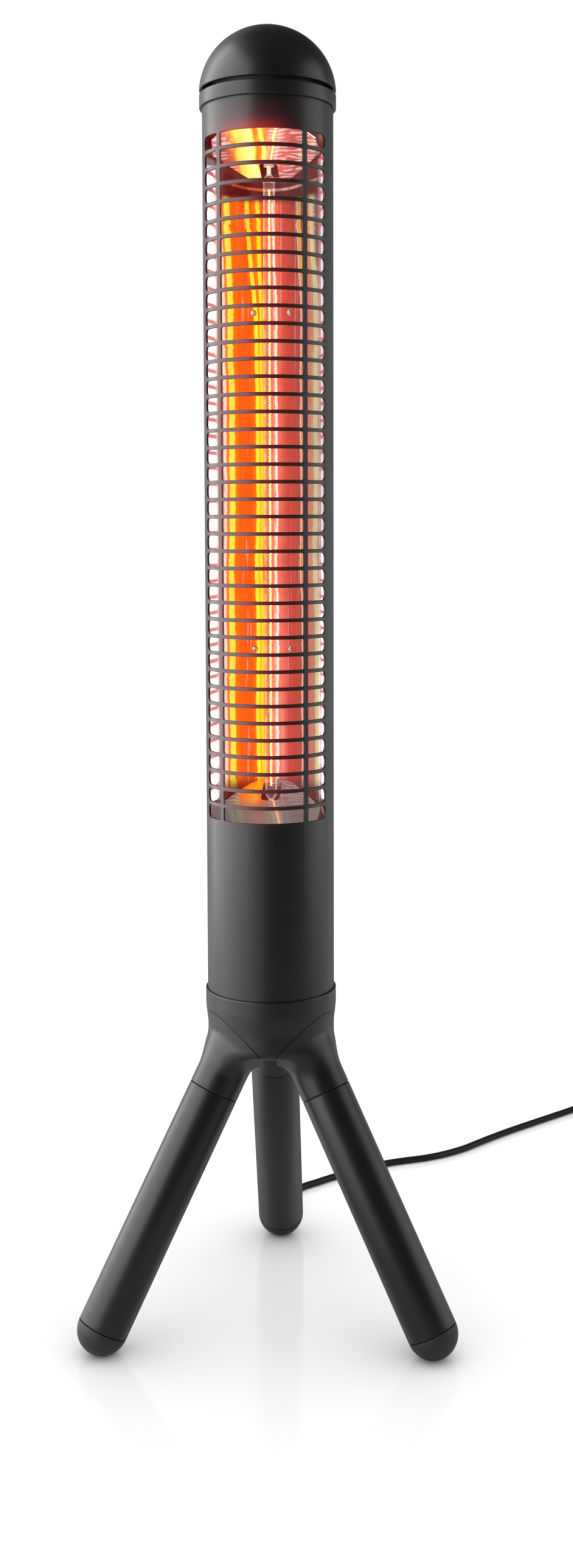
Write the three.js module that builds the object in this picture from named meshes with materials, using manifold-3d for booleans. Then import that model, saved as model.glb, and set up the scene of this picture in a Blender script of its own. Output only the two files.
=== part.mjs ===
import * as THREE from 'three';
import { mergeVertices } from 'three/addons/utils/BufferGeometryUtils.js';
import { ParametricGeometry } from 'three/addons/geometries/ParametricGeometry.js';
import Module from 'manifold-3d';

// Upright patio heater on three legs. Millimetres, +Z up, the floor at z = 0.
// A quartz lamp stands in a polished trough inside a slotted tube, under a domed cap.
// The tube stands in a hub ring, and three curved sockets join the hub to the legs.

// Overall
const totalHeight = 1190;
const footCircle = 171.7;
const legTilt = THREE.MathUtils.degToRad(29);
const legRadius = 23.2;
const legWall = 2;
const footPatchRadius = 6;
const bodyBackShare = 0.25;

// General clearances and tool overruns
const slipGap = 0.3;
const seamGap = 0.5;
const overrun = 2;
const weldDistance = 1e-4;
const toolSpan = 250;

// Body tube and its grille. The rows' lowest and highest centres are shares of the bare tube.
const tubeRadius = 59;
const tubeWall = 2;
const towerTurn = THREE.MathUtils.degToRad(-3.9);
const slotRows = 40;
const slotSpanShares = [0.2109, 0.9566];
const slotHeightShare = 0.7834;
const middleSlotArc = 79.3;
const ribArc = 4.5;
const sideSlotArc = 23.5;
const sideSlotRound = 2.9;
const slotCutRoom = 4;

// Cap, collar and the shadow gap between them
const capOverhang = 2.7;
const capRise = 60.6;
const capWall = 2.5;
const shadowGap = 3.6;
const capBossRadius = 12;
const collarOverhang = 2.5;
const collarHeight = 12.2;
const collarLip = 1.7;
const collarSeat = 7.5;
const neckInset = 9;
const neckWall = 1.6;
const neckFlange = 8;
const neckTopRise = 18;
const capScrewRadius = 2.9;
const capScrewLength = 14;
const capScrewHead = 5.5;
const capScrewHeadHeight = 3.6;

// Heater chamber
const topBulkheadDrop = 23;
const bulkheadThickness = 2;
const lowerBulkheadDrop = 22;
const wireHoleRadius = 4;
const wireHoleBackShare = 0.632;
const lampBackShare = 0.123;
const troughShares = [
  [-0.933, -0.254], [-0.851, -0.211], [-0.737, -0.088], [-0.553, 0.14], [-0.368, 0.333], [-0.193, 0.43],
  [0, 0.456], [0.193, 0.43], [0.368, 0.333], [0.553, 0.14], [0.737, -0.088], [0.851, -0.211],
  [0.933, -0.254],
];
const troughThickness = 1;
const endPlateThickness = 1;
const upperPlate = { slopeDegrees: -24.2, inset: 36.4, edgeShares: [-0.018, 0.351, 0.29] };
const lowerPlate = { slopeDegrees: 27.9, inset: 36.2, edgeShares: [-0.082, 0.368, 0.307] };
const plateFrontShare = 0.82;
const apertureRound = 4;

// Quartz lamp
const quartzRadius = 5.25;
const quartzWall = 1.2;
const quartzTaper = 5;
const quartzPinchLength = 8;
const lampTopInset = 36.4;
const lampLowInset = 24.5;
const pinchRadius = 1.9;
const pinchBore = 0.9;
const filamentRadius = 1.1;
const filamentLeadRadius = 0.5;
const filamentInset = 8;
const filamentTaper = 3.3;
const ceramicRadius = 4.9;
const ceramicLength = 20;
const ceramicGrip = 3.5;
const holderWall = 0.9;
const holderOverlap = 12;

// Reflector brackets, rivets and the screws behind them
const bracketShares = [0.7565, 0.2478];
const bracketHeight = 22;
const bracketHalfWidthShare = 0.351;
const bracketWall = 2;
const rivetSpreadShare = 0.289;
const rivetRadius = 1.6;
const rivetHeadRadius = 3;
const rivetHeadHeight = 1.2;
const rivetLength = 4;
const rearScrewRadius = 2.4;
const rearScrewHead = 4.6;
const rearScrewHeadHeight = 2.2;
const rearScrewLength = 9;

// Push switch in the back of the closed part of the tube
const switchShare = 0.6043;
const buttonRadius = 8.6;
const buttonTravel = 2.5;
const buttonProud = 1.6;
const buttonLength = 16;
const buttonRound = 0.7;
const bezelBand = 2.1;
const bezelFlange = 2.4;
const bezelProud = 2.6;
const switchBodyWidth = 24;
const switchBodyDepth = 22;
const switchBodyHeight = 26;

// Hub and leg sockets
const hubSwell = 1.8;
const hubWaistDip = 0.1;
const hubSkirt = 17.7;
const hubBulgeDrop = 13;
const hubWaistDrop = 35;
const hubUndersideRise = 40.6;
const hubFloorDrop = 7.8;
const hubEdgeRound = 5;
const hubRimRound = 0.8;
const hubSpigotWall = 3.5;
const hubBlend = 10;
const hubBlendBetween = 26;
const seamDrop = 114.9;
const seamTilt = THREE.MathUtils.degToRad(53.1);
const socketEnd = 123;
const socketSpigot = 25;
const footSpigot = 8;
const leadHoleRadius = 6.8;
const hubBoltReachShare = 0.625;
const hubBoltSpread = 13;
const hubBoltRadius = 4;
const hubBoltLength = 40;
const hubBoltHead = 6.5;
const hubBoltHeadHeight = 5;

// Tip-over switch on the hub floor
const tiltWidth = 36;
const tiltDepth = 20;
const tiltHeight = 46;
const tiltWall = 2;
const tiltForward = 14;
const tiltPinRadius = 1.5;
const tiltPinDrop = 9;
const bobRadius = 7;
const bobThickness = 9;
const bobArm = 22;
const bobArmWidth = 4;
const bobEyeRadius = 4;

// Terminal block on the hub floor
const terminalWidth = 30;
const terminalDepth = 16;
const terminalHeight = 24;
const terminalRear = 18;
const terminalEntryRise = 11.2;
const terminalHoleRadius = 2.2;
const terminalHoleSpread = 9;

// Mains lead
const leadRadius = 3.6;
const wireRadius = 1.2;
const wireArch = 12;
const glandRise = 39.6;
const glandDroop = THREE.MathUtils.degToRad(19.9);
const glandRadius = 7.2;
const glandTipRadius = 4.6;
const glandInside = 9;
const glandOutside = 30;
const glandCollar = 5;
const glandCollarRadius = 9;

// Stored coil of the lead, its tie and the plug
const coilMeanRadius = 39.6;
const coilPitch = 7.8;
const coilTurns = 5.5;
const coilLift = 5.2;
const coilTail = 42;
const coilStart = new THREE.Vector2(396, 577);
const coilHeading = THREE.MathUtils.degToRad(40.9);
const tieThickness = 1.2;
const tieWidth = 9;
const tiePlay = 0.4;
const tieTurnShare = 0.55;
const plugRadius = 18.5;
const plugLength = 34;
const plugSleeveLength = 24;
const plugSleeveRadius = 6;
const plugRimLength = 12;
const plugWaistShare = 0.62;
const plugFlareShare = 0.8;
const plugSleeveShare = 0.9;
const plugPinRadius = 2.4;
const plugPinLength = 19;
const plugPinSpread = 9.5;

// Counts of facets
const wallFacets = 24;
const roundFacets = 18;
const smallFacets = 8;
const leadSides = 8;
const wireSides = 5;
const coilSides = 6;
const coilStepsPerTurn = 24;

const fullTurn = 2 * Math.PI;
const quarterTurn = Math.PI / 2;

// Radii that follow from the tube's
const tubeInner = tubeRadius - tubeWall;
const innerFit = tubeInner - slipGap;
const lampBack = tubeInner * lampBackShare;
const wireHoleBack = tubeInner * wireHoleBackShare;
const bracketHalfWidth = tubeInner * bracketHalfWidthShare;
const rivetSpread = tubeInner * rivetSpreadShare;
const innerClear = tubeInner * Math.cos(Math.PI / wallFacets) - slipGap;
const capRadius = tubeRadius + capOverhang;
const collarRadius = tubeRadius + collarOverhang;
const collarOpening = tubeRadius - collarSeat;
const neckRadius = tubeRadius - neckInset;
const hubRimRadius = tubeRadius + hubSwell;
const hubBoltReach = hubRimRadius * hubBoltReachShare;
const hubWaistRadius = tubeRadius - hubWaistDip;

// Levels of the legs and the hub, from the feet up
const footCentreHeight = Math.sqrt(legRadius ** 2 - footPatchRadius ** 2);
const apexHeight = footCentreHeight + footCircle / Math.tan(legTilt);
const footCentreAlong = footCircle / Math.sin(legTilt);
const bodyBack = footCircle * bodyBackShare;
const seamSlope = Math.tan(seamTilt);
const seamAtAxis = apexHeight - seamDrop;
const seamTopHeight = seamAtAxis + seamSlope * hubRimRadius;
const tubeBottom = seamTopHeight;
const hubTop = seamTopHeight + hubSkirt;
const hubBulgeHeight = hubTop - hubBulgeDrop;
const hubWaistHeight = hubTop - hubWaistDrop;
const hubUnderside = seamAtAxis + hubUndersideRise;
const hubFloor = seamTopHeight - hubFloorDrop;
const glandHeight = footCentreHeight + glandRise;

// Levels of the cap and the tube, from the top down
const capBase = totalHeight - capRise;
const collarTop = capBase;
const collarBottom = collarTop - collarHeight;
const tubeTop = collarTop - collarLip - slipGap;
const topBulkheadTop = collarTop - topBulkheadDrop;
const topBulkheadBottom = topBulkheadTop - bulkheadThickness;

// Levels of the grille and of what is behind it
const slotCentreAt = (share) => THREE.MathUtils.lerp(hubTop, collarBottom, share);
const [lowestSlotCentre, highestSlotCentre] = slotSpanShares.map(slotCentreAt);
const slotPitch = (highestSlotCentre - lowestSlotCentre) / (slotRows - 1);
const slotHeight = slotPitch * slotHeightShare;
const grilleBottom = lowestSlotCentre - slotHeight / 2;
const grilleTop = highestSlotCentre + slotHeight / 2;
const lowerBulkheadTop = grilleBottom - lowerBulkheadDrop;
const lowerBulkheadBottom = lowerBulkheadTop - bulkheadThickness;
const bracketHeights = bracketShares.map((share) => THREE.MathUtils.lerp(grilleBottom, grilleTop, share));
const quartzTopEnd = topBulkheadTop - lampTopInset;
const quartzTopPinch = quartzTopEnd - quartzPinchLength;
const quartzTopShoulder = quartzTopPinch - quartzTaper;
const quartzLowEnd = lowerBulkheadTop + lampLowInset;
const quartzLowPinch = quartzLowEnd + quartzPinchLength;
const quartzLowShoulder = quartzLowPinch + quartzTaper;
const switchHeight = THREE.MathUtils.lerp(hubTop, lowerBulkheadBottom, switchShare);
const wireEnd = switchHeight + switchBodyHeight / 2 + slipGap;

const wasm = await Module();
wasm.setup();

// Welds a geometry into one closed surface whose faces point out.
function closed(geometry) {
  const bare = geometry.clone();
  bare.deleteAttribute('normal');
  bare.deleteAttribute('uv');
  const welded = mergeVertices(bare, weldDistance);
  const place = welded.getAttribute('position');
  const corners = welded.getIndex().array;
  const kept = [];
  let volume = 0;
  const [a, b, c] = [new THREE.Vector3(), new THREE.Vector3(), new THREE.Vector3()];
  for (let i = 0; i < corners.length; i += 3) {
    const [p, q, r] = [corners[i], corners[i + 1], corners[i + 2]];
    if (p === q || q === r || r === p) continue;
    a.fromBufferAttribute(place, p);
    b.fromBufferAttribute(place, q);
    c.fromBufferAttribute(place, r);
    volume += a.dot(b.cross(c));
    kept.push(p, q, r);
  }
  if (volume < 0) kept.reverse();
  const result = new THREE.BufferGeometry();
  result.setAttribute('position', place);
  result.setIndex(kept);
  return result;
}

function solid(geometry) {
  const surface = closed(geometry);
  const mesh = new wasm.Mesh({
    numProp: 3,
    vertProperties: new Float32Array(surface.getAttribute('position').array),
    triVerts: new Uint32Array(surface.getIndex().array),
  });
  return new wasm.Manifold(mesh);
}

function surfaceOf(body) {
  const mesh = body.getMesh();
  const result = new THREE.BufferGeometry();
  result.setAttribute('position', new THREE.BufferAttribute(new Float32Array(mesh.vertProperties), 3));
  result.setIndex(Array.from(mesh.triVerts));
  return result;
}

// The first geometry less all the others.
function cut(geometry, ...tools) {
  return surfaceOf(tools.reduce((body, tool) => body.subtract(solid(tool)), solid(geometry)));
}

function join(geometry, ...others) {
  return surfaceOf(others.reduce((body, other) => body.add(solid(other)), solid(geometry)));
}

function common(geometry, ...others) {
  return surfaceOf(others.reduce((body, other) => body.intersect(solid(other)), solid(geometry)));
}

// Turned piece round the z axis from [radius, height] pairs.
function turned(profile, facets) {
  const points = profile.map(([radius, height]) => new THREE.Vector2(radius, height));
  return closed(new THREE.LatheGeometry(points, facets).rotateX(quarterTurn));
}

// Round bar along z between two heights.
function bar(radius, low, high, facets = smallFacets) {
  return turned([[0, low], [radius, low], [radius, high], [0, high]], facets);
}

// Ring along z between two heights.
function ring(outer, inner, low, high, facets = wallFacets) {
  return turned([[inner, low], [outer, low], [outer, high], [inner, high], [inner, low]], facets);
}

// Bar along +Y from a near to a far depth.
function barAlongY(radius, near, far, facets = smallFacets) {
  return bar(radius, near, far, facets).rotateX(-quarterTurn);
}

function block(width, depth, height) {
  return closed(new THREE.BoxGeometry(width, depth, height));
}

function outline(points) {
  return new THREE.Shape(points.map(([x, y]) => new THREE.Vector2(x, y)));
}

// Upright prism over a plan outline.
function prism(shape, low, high, curveSegments = smallFacets) {
  const settings = { depth: high - low, bevelEnabled: false, curveSegments };
  return closed(new THREE.ExtrudeGeometry(shape, settings).translate(0, 0, low));
}

function arcPoints(radius, from, to, steps) {
  return Array.from({ length: steps + 1 }, (_, i) => {
    const angle = from + (to - from) * i / steps;
    return [radius * Math.cos(angle), radius * Math.sin(angle)];
  });
}

const heater = new THREE.Group();
const stand = new THREE.Group();
const tower = new THREE.Group();
stand.position.y = -bodyBack;
tower.rotation.z = towerTurn;
stand.add(tower);
heater.add(stand);

const finishes = {
  powderCoat: ['#38373a', 0.62, 0.25],
  footRubber: ['#2d2d2e', 0.8, 0],
  polished: ['#d9d6d2', 0.12, 1],
  steel: ['#9c9b98', 0.35, 1],
  quartz: ['#f4efe8', 0.05, 0],
  glowing: ['#ffd23c', 0.5, 0],
  ceramic: ['#e9e1d6', 0.7, 0],
  darkPlastic: ['#1d1d1f', 0.5, 0],
  palePlastic: ['#c9c7c2', 0.55, 0],
  brass: ['#b8974f', 0.3, 1],
  leadRubber: ['#1c1c1c', 0.6, 0],
};

function add(parent, name, geometry, finish) {
  const [color, roughness, metalness] = finishes[finish];
  const mesh = new THREE.Mesh(geometry, new THREE.MeshStandardMaterial({ color, roughness, metalness }));
  mesh.name = name;
  parent.add(mesh);
  return mesh;
}

// Grille: rows of one wide slot between two narrow ones, round the front of the tube.
const slotEdges = {
  middle: middleSlotArc / 2 / tubeRadius,
  side: (middleSlotArc / 2 + ribArc) / tubeRadius,
  end: (middleSlotArc / 2 + ribArc + sideSlotArc) / tubeRadius,
};

function slotCutter(from, to, low, high) {
  const front = -quarterTurn;
  const steps = Math.max(2, Math.round((to - from) / (fullTurn / wallFacets)));
  const outer = arcPoints(tubeRadius + overrun, front + from, front + to, steps);
  const inner = arcPoints(tubeInner - overrun, front + to, front + from, steps);
  return prism(outline([...outer, ...inner]), low, high);
}

// A side slot has its two outer corners cut off.
function sideSlotCutter(side, low, high) {
  const middle = (slotEdges.side + slotEdges.end) / 2;
  const half = tubeRadius * Math.sin((slotEdges.end - slotEdges.side) / 2);
  const face = outline([
    [-half, low], [half - sideSlotRound, low], [half, low + sideSlotRound],
    [half, high - sideSlotRound], [half - sideSlotRound, high], [-half, high],
  ]);
  const cutter = prism(face, tubeInner - slotCutRoom, tubeRadius + overrun).rotateX(quarterTurn);
  return side > 0 ? cutter.rotateZ(middle) : cutter.scale(-1, 1, 1).rotateZ(-middle);
}

function bodyTube() {
  let wall = solid(ring(tubeRadius, tubeInner, tubeBottom, tubeTop));
  for (let row = 0; row < slotRows; row += 1) {
    const centre = lowestSlotCentre + row * slotPitch;
    const low = centre - slotHeight / 2;
    const high = centre + slotHeight / 2;
    const cutters = [
      slotCutter(-slotEdges.middle, slotEdges.middle, low, high),
      sideSlotCutter(1, low, high),
      sideSlotCutter(-1, low, high),
    ];
    for (const cutter of cutters) wall = wall.subtract(solid(cutter));
  }
  const switchHole = barAlongY(bezelSleeveRadius + slipGap, 0, tubeRadius + overrun, roundFacets);
  wall = wall.subtract(solid(switchHole.translate(0, 0, switchHeight)));
  for (const height of bracketHeights) {
    const hole = barAlongY(rearScrewRadius + slipGap, 0, tubeRadius + overrun);
    wall = wall.subtract(solid(hole.translate(0, 0, height)));
  }
  return surfaceOf(wall);
}

// Cap: a domed shell with a boss that the cap screw holds down on the neck.
const neckTop = capBase + neckTopRise;
const capBossBottom = neckTop + slipGap;

function ellipsePoints(radius, rise, from, to, steps) {
  return Array.from({ length: steps + 1 }, (_, i) => {
    const angle = from + (to - from) * i / steps;
    return [radius * Math.cos(angle), capBase + rise * Math.sin(angle)];
  });
}

function domeCap() {
  const innerRadius = capRadius - capWall;
  const innerRise = capRise - capWall;
  const outerStart = Math.asin(shadowGap / capRise);
  const innerStart = Math.asin(shadowGap / innerRise);
  const bossAngle = Math.acos(capBossRadius / innerRadius);
  const outer = ellipsePoints(capRadius, capRise, quarterTurn, outerStart, 9);
  const inner = ellipsePoints(innerRadius, innerRise, innerStart, bossAngle, 4);
  const boreRadius = capScrewRadius + slipGap;
  const boreTop = capBossBottom + capScrewLength;
  outer[0] = [0, totalHeight];
  return turned([
    ...outer, ...inner,
    [capBossRadius, capBossBottom], [boreRadius, capBossBottom], [boreRadius, boreTop], [0, boreTop],
  ], wallFacets);
}

function capNeck() {
  const inner = neckRadius - neckWall;
  const low = topBulkheadTop + slipGap;
  const hole = capScrewRadius + slipGap;
  return turned([
    [neckRadius - neckFlange, low], [neckRadius, low], [neckRadius, neckTop], [hole, neckTop],
    [hole, neckTop - neckWall], [inner, neckTop - neckWall], [inner, low + neckWall],
    [neckRadius - neckFlange, low + neckWall], [neckRadius - neckFlange, low],
  ], roundFacets);
}

function capScrew() {
  const seat = neckTop - neckWall - slipGap;
  const tip = neckTop + capScrewLength - overrun;
  return turned([
    [0, seat - capScrewHeadHeight], [capScrewHead, seat - capScrewHeadHeight], [capScrewHead, seat],
    [capScrewRadius, seat], [capScrewRadius, tip], [0, tip],
  ], smallFacets);
}

function topCollar() {
  const bore = tubeRadius + slipGap;
  const under = collarTop - collarLip;
  return turned([
    [bore, collarBottom], [collarRadius, collarBottom], [collarRadius, collarTop],
    [collarOpening, collarTop],
    [collarOpening, under], [bore, under], [bore, collarBottom],
  ], wallFacets);
}

function bulkhead(low) {
  const disc = bar(innerFit, low, low + bulkheadThickness, wallFacets);
  const holes = [lampBack, wireHoleBack].map((back) => (
    bar(wireHoleRadius, low - overrun, low + bulkheadThickness + overrun).translate(0, back, 0)));
  return cut(disc, ...holes);
}

// Trough: bent from polished sheet, with flanges that face the grille at both sides.
const troughLow = lowerBulkheadTop + slipGap;
const troughHigh = topBulkheadBottom - slipGap;
const troughCorners = troughShares.map(([across, back]) => [across * tubeInner, back * tubeInner]);

// The trough's line in plan, moved to its rear by an offset.
function troughLine(offset) {
  const last = troughCorners.length - 1;
  return troughCorners.map(([x, y], i) => {
    const before = troughCorners[Math.max(i - 1, 0)];
    const after = troughCorners[Math.min(i + 1, last)];
    const length = Math.hypot(after[0] - before[0], after[1] - before[1]);
    return [x - offset * (after[1] - before[1]) / length, y + offset * (after[0] - before[0]) / length];
  });
}

// The stretch of the trough's line that holds a place across it.
function troughStretch(x) {
  const i = troughCorners.findIndex((corner) => corner[0] > x);
  const [from, to] = [troughCorners[i - 1], troughCorners[i]];
  const slope = (to[1] - from[1]) / (to[0] - from[0]);
  return { depth: from[1] + slope * (x - from[0]), turn: Math.atan(slope) };
}

function trough() {
  const plan = outline([...troughLine(0), ...troughLine(troughThickness).reverse()]);
  const sheet = prism(plan, troughLow, troughHigh);
  return cut(sheet, ...bracketHeights.flatMap((height) => [1, -1].map((side) => rivetHole(side, height))));
}

// End plate: polished sheet inside the trough, sloping from the grille towards the lamp.
function endPlate(plate, level) {
  const rear = troughLine(-slipGap - endPlateThickness / 2).slice(1, -1);
  const turn = Math.acos(plateFrontShare);
  const front = arcPoints(innerClear, -turn, turn - Math.PI, smallFacets);
  const plan = prism(outline([...rear, ...front]), troughLow, troughHigh);
  const sheet = block(toolSpan, toolSpan, endPlateThickness).rotateX(THREE.MathUtils.degToRad(plate.slopeDegrees));
  return cut(common(sheet.translate(0, 0, level), plan), aperture(plate));
}

function aperture({ edgeShares }) {
  const [front, rear, width] = edgeShares.map((share) => share * tubeInner);
  const half = width / 2;
  const shape = new THREE.Shape();
  shape.moveTo(-half, front + apertureRound);
  shape.quadraticCurveTo(-half, front, -half + apertureRound, front);
  shape.lineTo(half - apertureRound, front);
  shape.quadraticCurveTo(half, front, half, front + apertureRound);
  shape.lineTo(half, rear);
  shape.lineTo(-half, rear);
  return prism(shape, troughLow, troughHigh, 3);
}

// Lamp: quartz tube drawn down to a pinch at both ends, the filament on its axis.
function quartzTube() {
  const bore = quartzRadius - quartzWall;
  const profile = [
    [pinchBore, quartzLowEnd], [pinchRadius, quartzLowEnd], [pinchRadius, quartzLowPinch],
    [quartzRadius, quartzLowShoulder], [quartzRadius, quartzTopShoulder], [pinchRadius, quartzTopPinch],
    [pinchRadius, quartzTopEnd], [pinchBore, quartzTopEnd], [pinchBore, quartzTopPinch - quartzWall],
    [bore, quartzTopShoulder - quartzWall], [bore, quartzLowShoulder + quartzWall],
    [pinchBore, quartzLowPinch + quartzWall], [pinchBore, quartzLowEnd],
  ];
  return onLampAxis(turned(profile, smallFacets));
}

function onLampAxis(geometry) {
  return geometry.translate(0, lampBack, 0);
}

function filament() {
  const low = quartzLowShoulder + filamentInset;
  const high = quartzTopShoulder - filamentInset;
  const lead = filamentLeadRadius;
  const leadLow = quartzLowEnd - ceramicGrip;
  const leadHigh = quartzTopEnd + ceramicGrip;
  return onLampAxis(turned([
    [0, leadLow], [lead, leadLow], [lead, low], [filamentRadius, low + filamentTaper],
    [filamentRadius, high - filamentTaper], [lead, high], [lead, leadHigh], [0, leadHigh],
  ], smallFacets));
}

// Ceramic end: grips the pinch at one end, and lets the wire out at the other.
function ceramicEnd(mouth, direction) {
  const at = (distance) => mouth + direction * distance;
  const grip = pinchRadius + slipGap;
  const bore = filamentLeadRadius + slipGap;
  const depth = ceramicGrip + slipGap;
  return onLampAxis(turned([
    [grip, at(0)], [ceramicRadius, at(0)], [ceramicRadius, at(ceramicLength)], [bore, at(ceramicLength)],
    [bore, at(depth)], [grip, at(depth)], [grip, at(0)],
  ], smallFacets));
}

// Spring sleeve: holds a ceramic end and stands on a bulkhead.
function lampHolder(ceramicTip, bulkheadFace, direction) {
  const open = ceramicTip - direction * holderOverlap;
  const base = bulkheadFace - direction * slipGap;
  const inner = ceramicRadius + slipGap;
  const outer = inner + holderWall;
  const bore = wireRadius + slipGap;
  return onLampAxis(turned([
    [inner, open], [outer, open], [outer, base], [bore, base],
    [bore, base - direction * holderWall], [inner, base - direction * holderWall], [inner, open],
  ], smallFacets));
}

// Hat bracket between the back of the trough and the wall of the tube.
function troughBracket(height) {
  const half = bracketHalfWidth;
  const near = (offset, half) => troughLine(troughThickness + offset).filter(([x]) => Math.abs(x) < half);
  const far = (radius, reach) => {
    const turn = Math.asin(reach / radius);
    return arcPoints(radius, quarterTurn - turn, quarterTurn + turn, 4);
  };
  const shape = outline([...near(slipGap, half + 2 * bracketWall), ...far(innerClear, half)]);
  const window = outline([
    ...near(slipGap + bracketWall, half - bracketWall),
    ...far(innerClear - bracketWall, half - bracketWall),
  ]);
  const low = height - bracketHeight / 2;
  const high = height + bracketHeight / 2;
  const hat = cut(prism(shape, low, high), prism(window, low - overrun, high + overrun));
  const rearHole = barAlongY(rearScrewRadius + slipGap, tubeInner - rearScrewLength, tubeRadius);
  const rivetHoles = [1, -1].map((side) => rivetHole(side, height));
  return cut(hat, rearHole.translate(0, 0, height), ...rivetHoles);
}

// Puts a piece that is made along +Y on the trough's surface, square to it.
function rivetPlace(geometry, side, height) {
  const { depth, turn } = troughStretch(side * rivetSpread);
  return geometry.rotateZ(turn).translate(side * rivetSpread, depth, height);
}

function rivetHole(side, height) {
  const hole = barAlongY(rivetRadius + slipGap, -overrun, troughThickness + rivetLength);
  return rivetPlace(hole, side, height);
}

function rivet(side, height) {
  const tail = rivetLength;
  const profile = [
    [0, -slipGap - rivetHeadHeight], [rivetHeadRadius / 2, -slipGap - rivetHeadHeight],
    [rivetHeadRadius, -slipGap], [rivetRadius, -slipGap], [rivetRadius, tail], [0, tail],
  ];
  return rivetPlace(turned(profile, smallFacets).rotateX(-quarterTurn), side, height);
}

function rearScrew(height) {
  const seat = tubeRadius + slipGap;
  const profile = [
    [0, seat - rearScrewLength], [rearScrewRadius, seat - rearScrewLength], [rearScrewRadius, seat],
    [rearScrewHead, seat], [rearScrewHead / 2, seat + rearScrewHeadHeight], [0, seat + rearScrewHeadHeight],
  ];
  return turned(profile, smallFacets).rotateX(-quarterTurn).translate(0, 0, height);
}

// Push switch: the bezel clamps it in the wall, and the button slides in the bezel.
const bezelBore = buttonRadius + slipGap;
const bezelSleeveRadius = bezelBore + bezelBand;
const bezelFace = tubeRadius + bezelProud;
const buttonFace = bezelFace + buttonProud;
const buttonBack = buttonFace - buttonLength;
const switchBodyFace = buttonBack - buttonTravel - slipGap;

function switchBezel() {
  const flange = barAlongY(bezelSleeveRadius + bezelFlange, tubeInner - overrun, bezelFace, roundFacets);
  const wall = bar(tubeRadius + slipGap, -2 * bezelSleeveRadius, 2 * bezelSleeveRadius, 2 * wallFacets);
  const sleeve = barAlongY(bezelSleeveRadius, switchBodyFace + slipGap, bezelFace, roundFacets);
  const bore = barAlongY(bezelBore, switchBodyFace - overrun, bezelFace + overrun, roundFacets);
  return cut(join(cut(flange, wall), sleeve), bore).translate(0, 0, switchHeight);
}

function switchButton() {
  const profile = [
    [0, buttonBack], [buttonRadius, buttonBack], [buttonRadius, buttonFace - buttonRound],
    [buttonRadius - buttonRound, buttonFace], [0, buttonFace],
  ];
  return turned(profile, roundFacets).rotateX(-quarterTurn).translate(0, 0, switchHeight);
}

function switchBody() {
  const centre = switchBodyFace - switchBodyDepth / 2;
  return block(switchBodyWidth, switchBodyDepth, switchBodyHeight).translate(0, centre, switchHeight);
}

// Hub field: negative inside the blended shape of the hub and the three legs.
const legTurns = [-5 / 6 * Math.PI, -Math.PI / 6, quarterTurn];
const legNames = ['left', 'right', 'back'];
const legAlong = [Math.sin(legTilt), -Math.cos(legTilt)];

function hubRadiusAt(height) {
  const share = THREE.MathUtils.smoothstep(height, hubWaistHeight, hubBulgeHeight);
  return THREE.MathUtils.lerp(hubWaistRadius, hubRimRadius, share);
}

function ringField(x, y, z) {
  const out = Math.hypot(x, y) - hubRadiusAt(z) + hubEdgeRound;
  const under = hubUnderside - z + hubEdgeRound;
  const outside = Math.hypot(Math.max(out, 0), Math.max(under, 0));
  return outside + Math.min(Math.max(out, under), 0) - hubEdgeRound;
}

function legField(x, y, z, turn) {
  const outward = x * Math.cos(turn) + y * Math.sin(turn);
  const across = -x * Math.sin(turn) + y * Math.cos(turn);
  const along = outward * legAlong[0] + (z - apexHeight) * legAlong[1];
  const offX = outward - along * legAlong[0];
  const offZ = z - apexHeight - along * legAlong[1];
  return Math.hypot(offX, across, offZ) - legRadius;
}

// Smooth union: the blend grows from a leg's own direction to the space between two legs.
function blended(a, b, towardsLeg) {
  const size = hubBlend + hubBlendBetween * (1 - towardsLeg ** 2);
  const near = Math.max(size - Math.abs(a - b), 0) / size;
  return Math.min(a, b) - near * near * size / 4;
}

function hubField(x, y, z) {
  const out = Math.hypot(x, y) + weldDistance;
  return legTurns.reduce((field, turn) => {
    const towardsLeg = Math.max((x * Math.cos(turn) + y * Math.sin(turn)) / out, 0);
    return blended(field, legField(x, y, z, turn), towardsLeg);
  }, ringField(x, y, z));
}

// Distance from a start along a direction to where a field turns positive.
function reachOf(field, start, direction, limit) {
  const at = (distance) => field(...start.map((value, i) => value + direction[i] * distance));
  const steps = 60;
  let near = 0;
  let far = limit;
  for (let i = 1; i <= steps; i += 1) {
    if (at(limit * i / steps) > 0) {
      far = limit * i / steps;
      break;
    }
    near = limit * i / steps;
  }
  for (let i = 0; i < 30; i += 1) {
    const middle = (near + far) / 2;
    if (at(middle) > 0) far = middle;
    else near = middle;
  }
  return near;
}

// A skin of rings with a point at either end: rowPoint(row, share of a turn) gives each place.
function ringSkin(rowPoint, rows, around) {
  const stacks = rows + 1;
  const place = (u, v, target) => target.set(...rowPoint(Math.round(v * stacks), u % 1));
  return closed(new ParametricGeometry(place, around, stacks));
}

// Curved leg socket, made with its leg along +X: from the slanted seam under the hub
// down to the square seam where the straight tube starts.
const sectorSpare = 7;
const legSector = THREE.MathUtils.degToRad(150);
const seamAlong = (apexHeight - seamAtAxis) / (seamSlope * legAlong[0] - legAlong[1]);

const socketRowShares = [0, 0.04, 0.09, 0.16, 0.3, 0.55, 1];
const socketTurnShares = [
  0, 0.12, 0.23, 0.32, 0.39, 0.44, 0.47, 0.495, 0.52, 0.55, 0.58, 0.62, 0.68, 0.76, 0.88,
];

// Turns of the socket's rings, closest where its underside meets the webs.
function socketTurn(step) {
  const count = socketTurnShares.length;
  return step <= count
    ? Math.PI * (step === count ? 1 : socketTurnShares[step])
    : fullTurn - socketTurn(2 * count - step);
}

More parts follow.
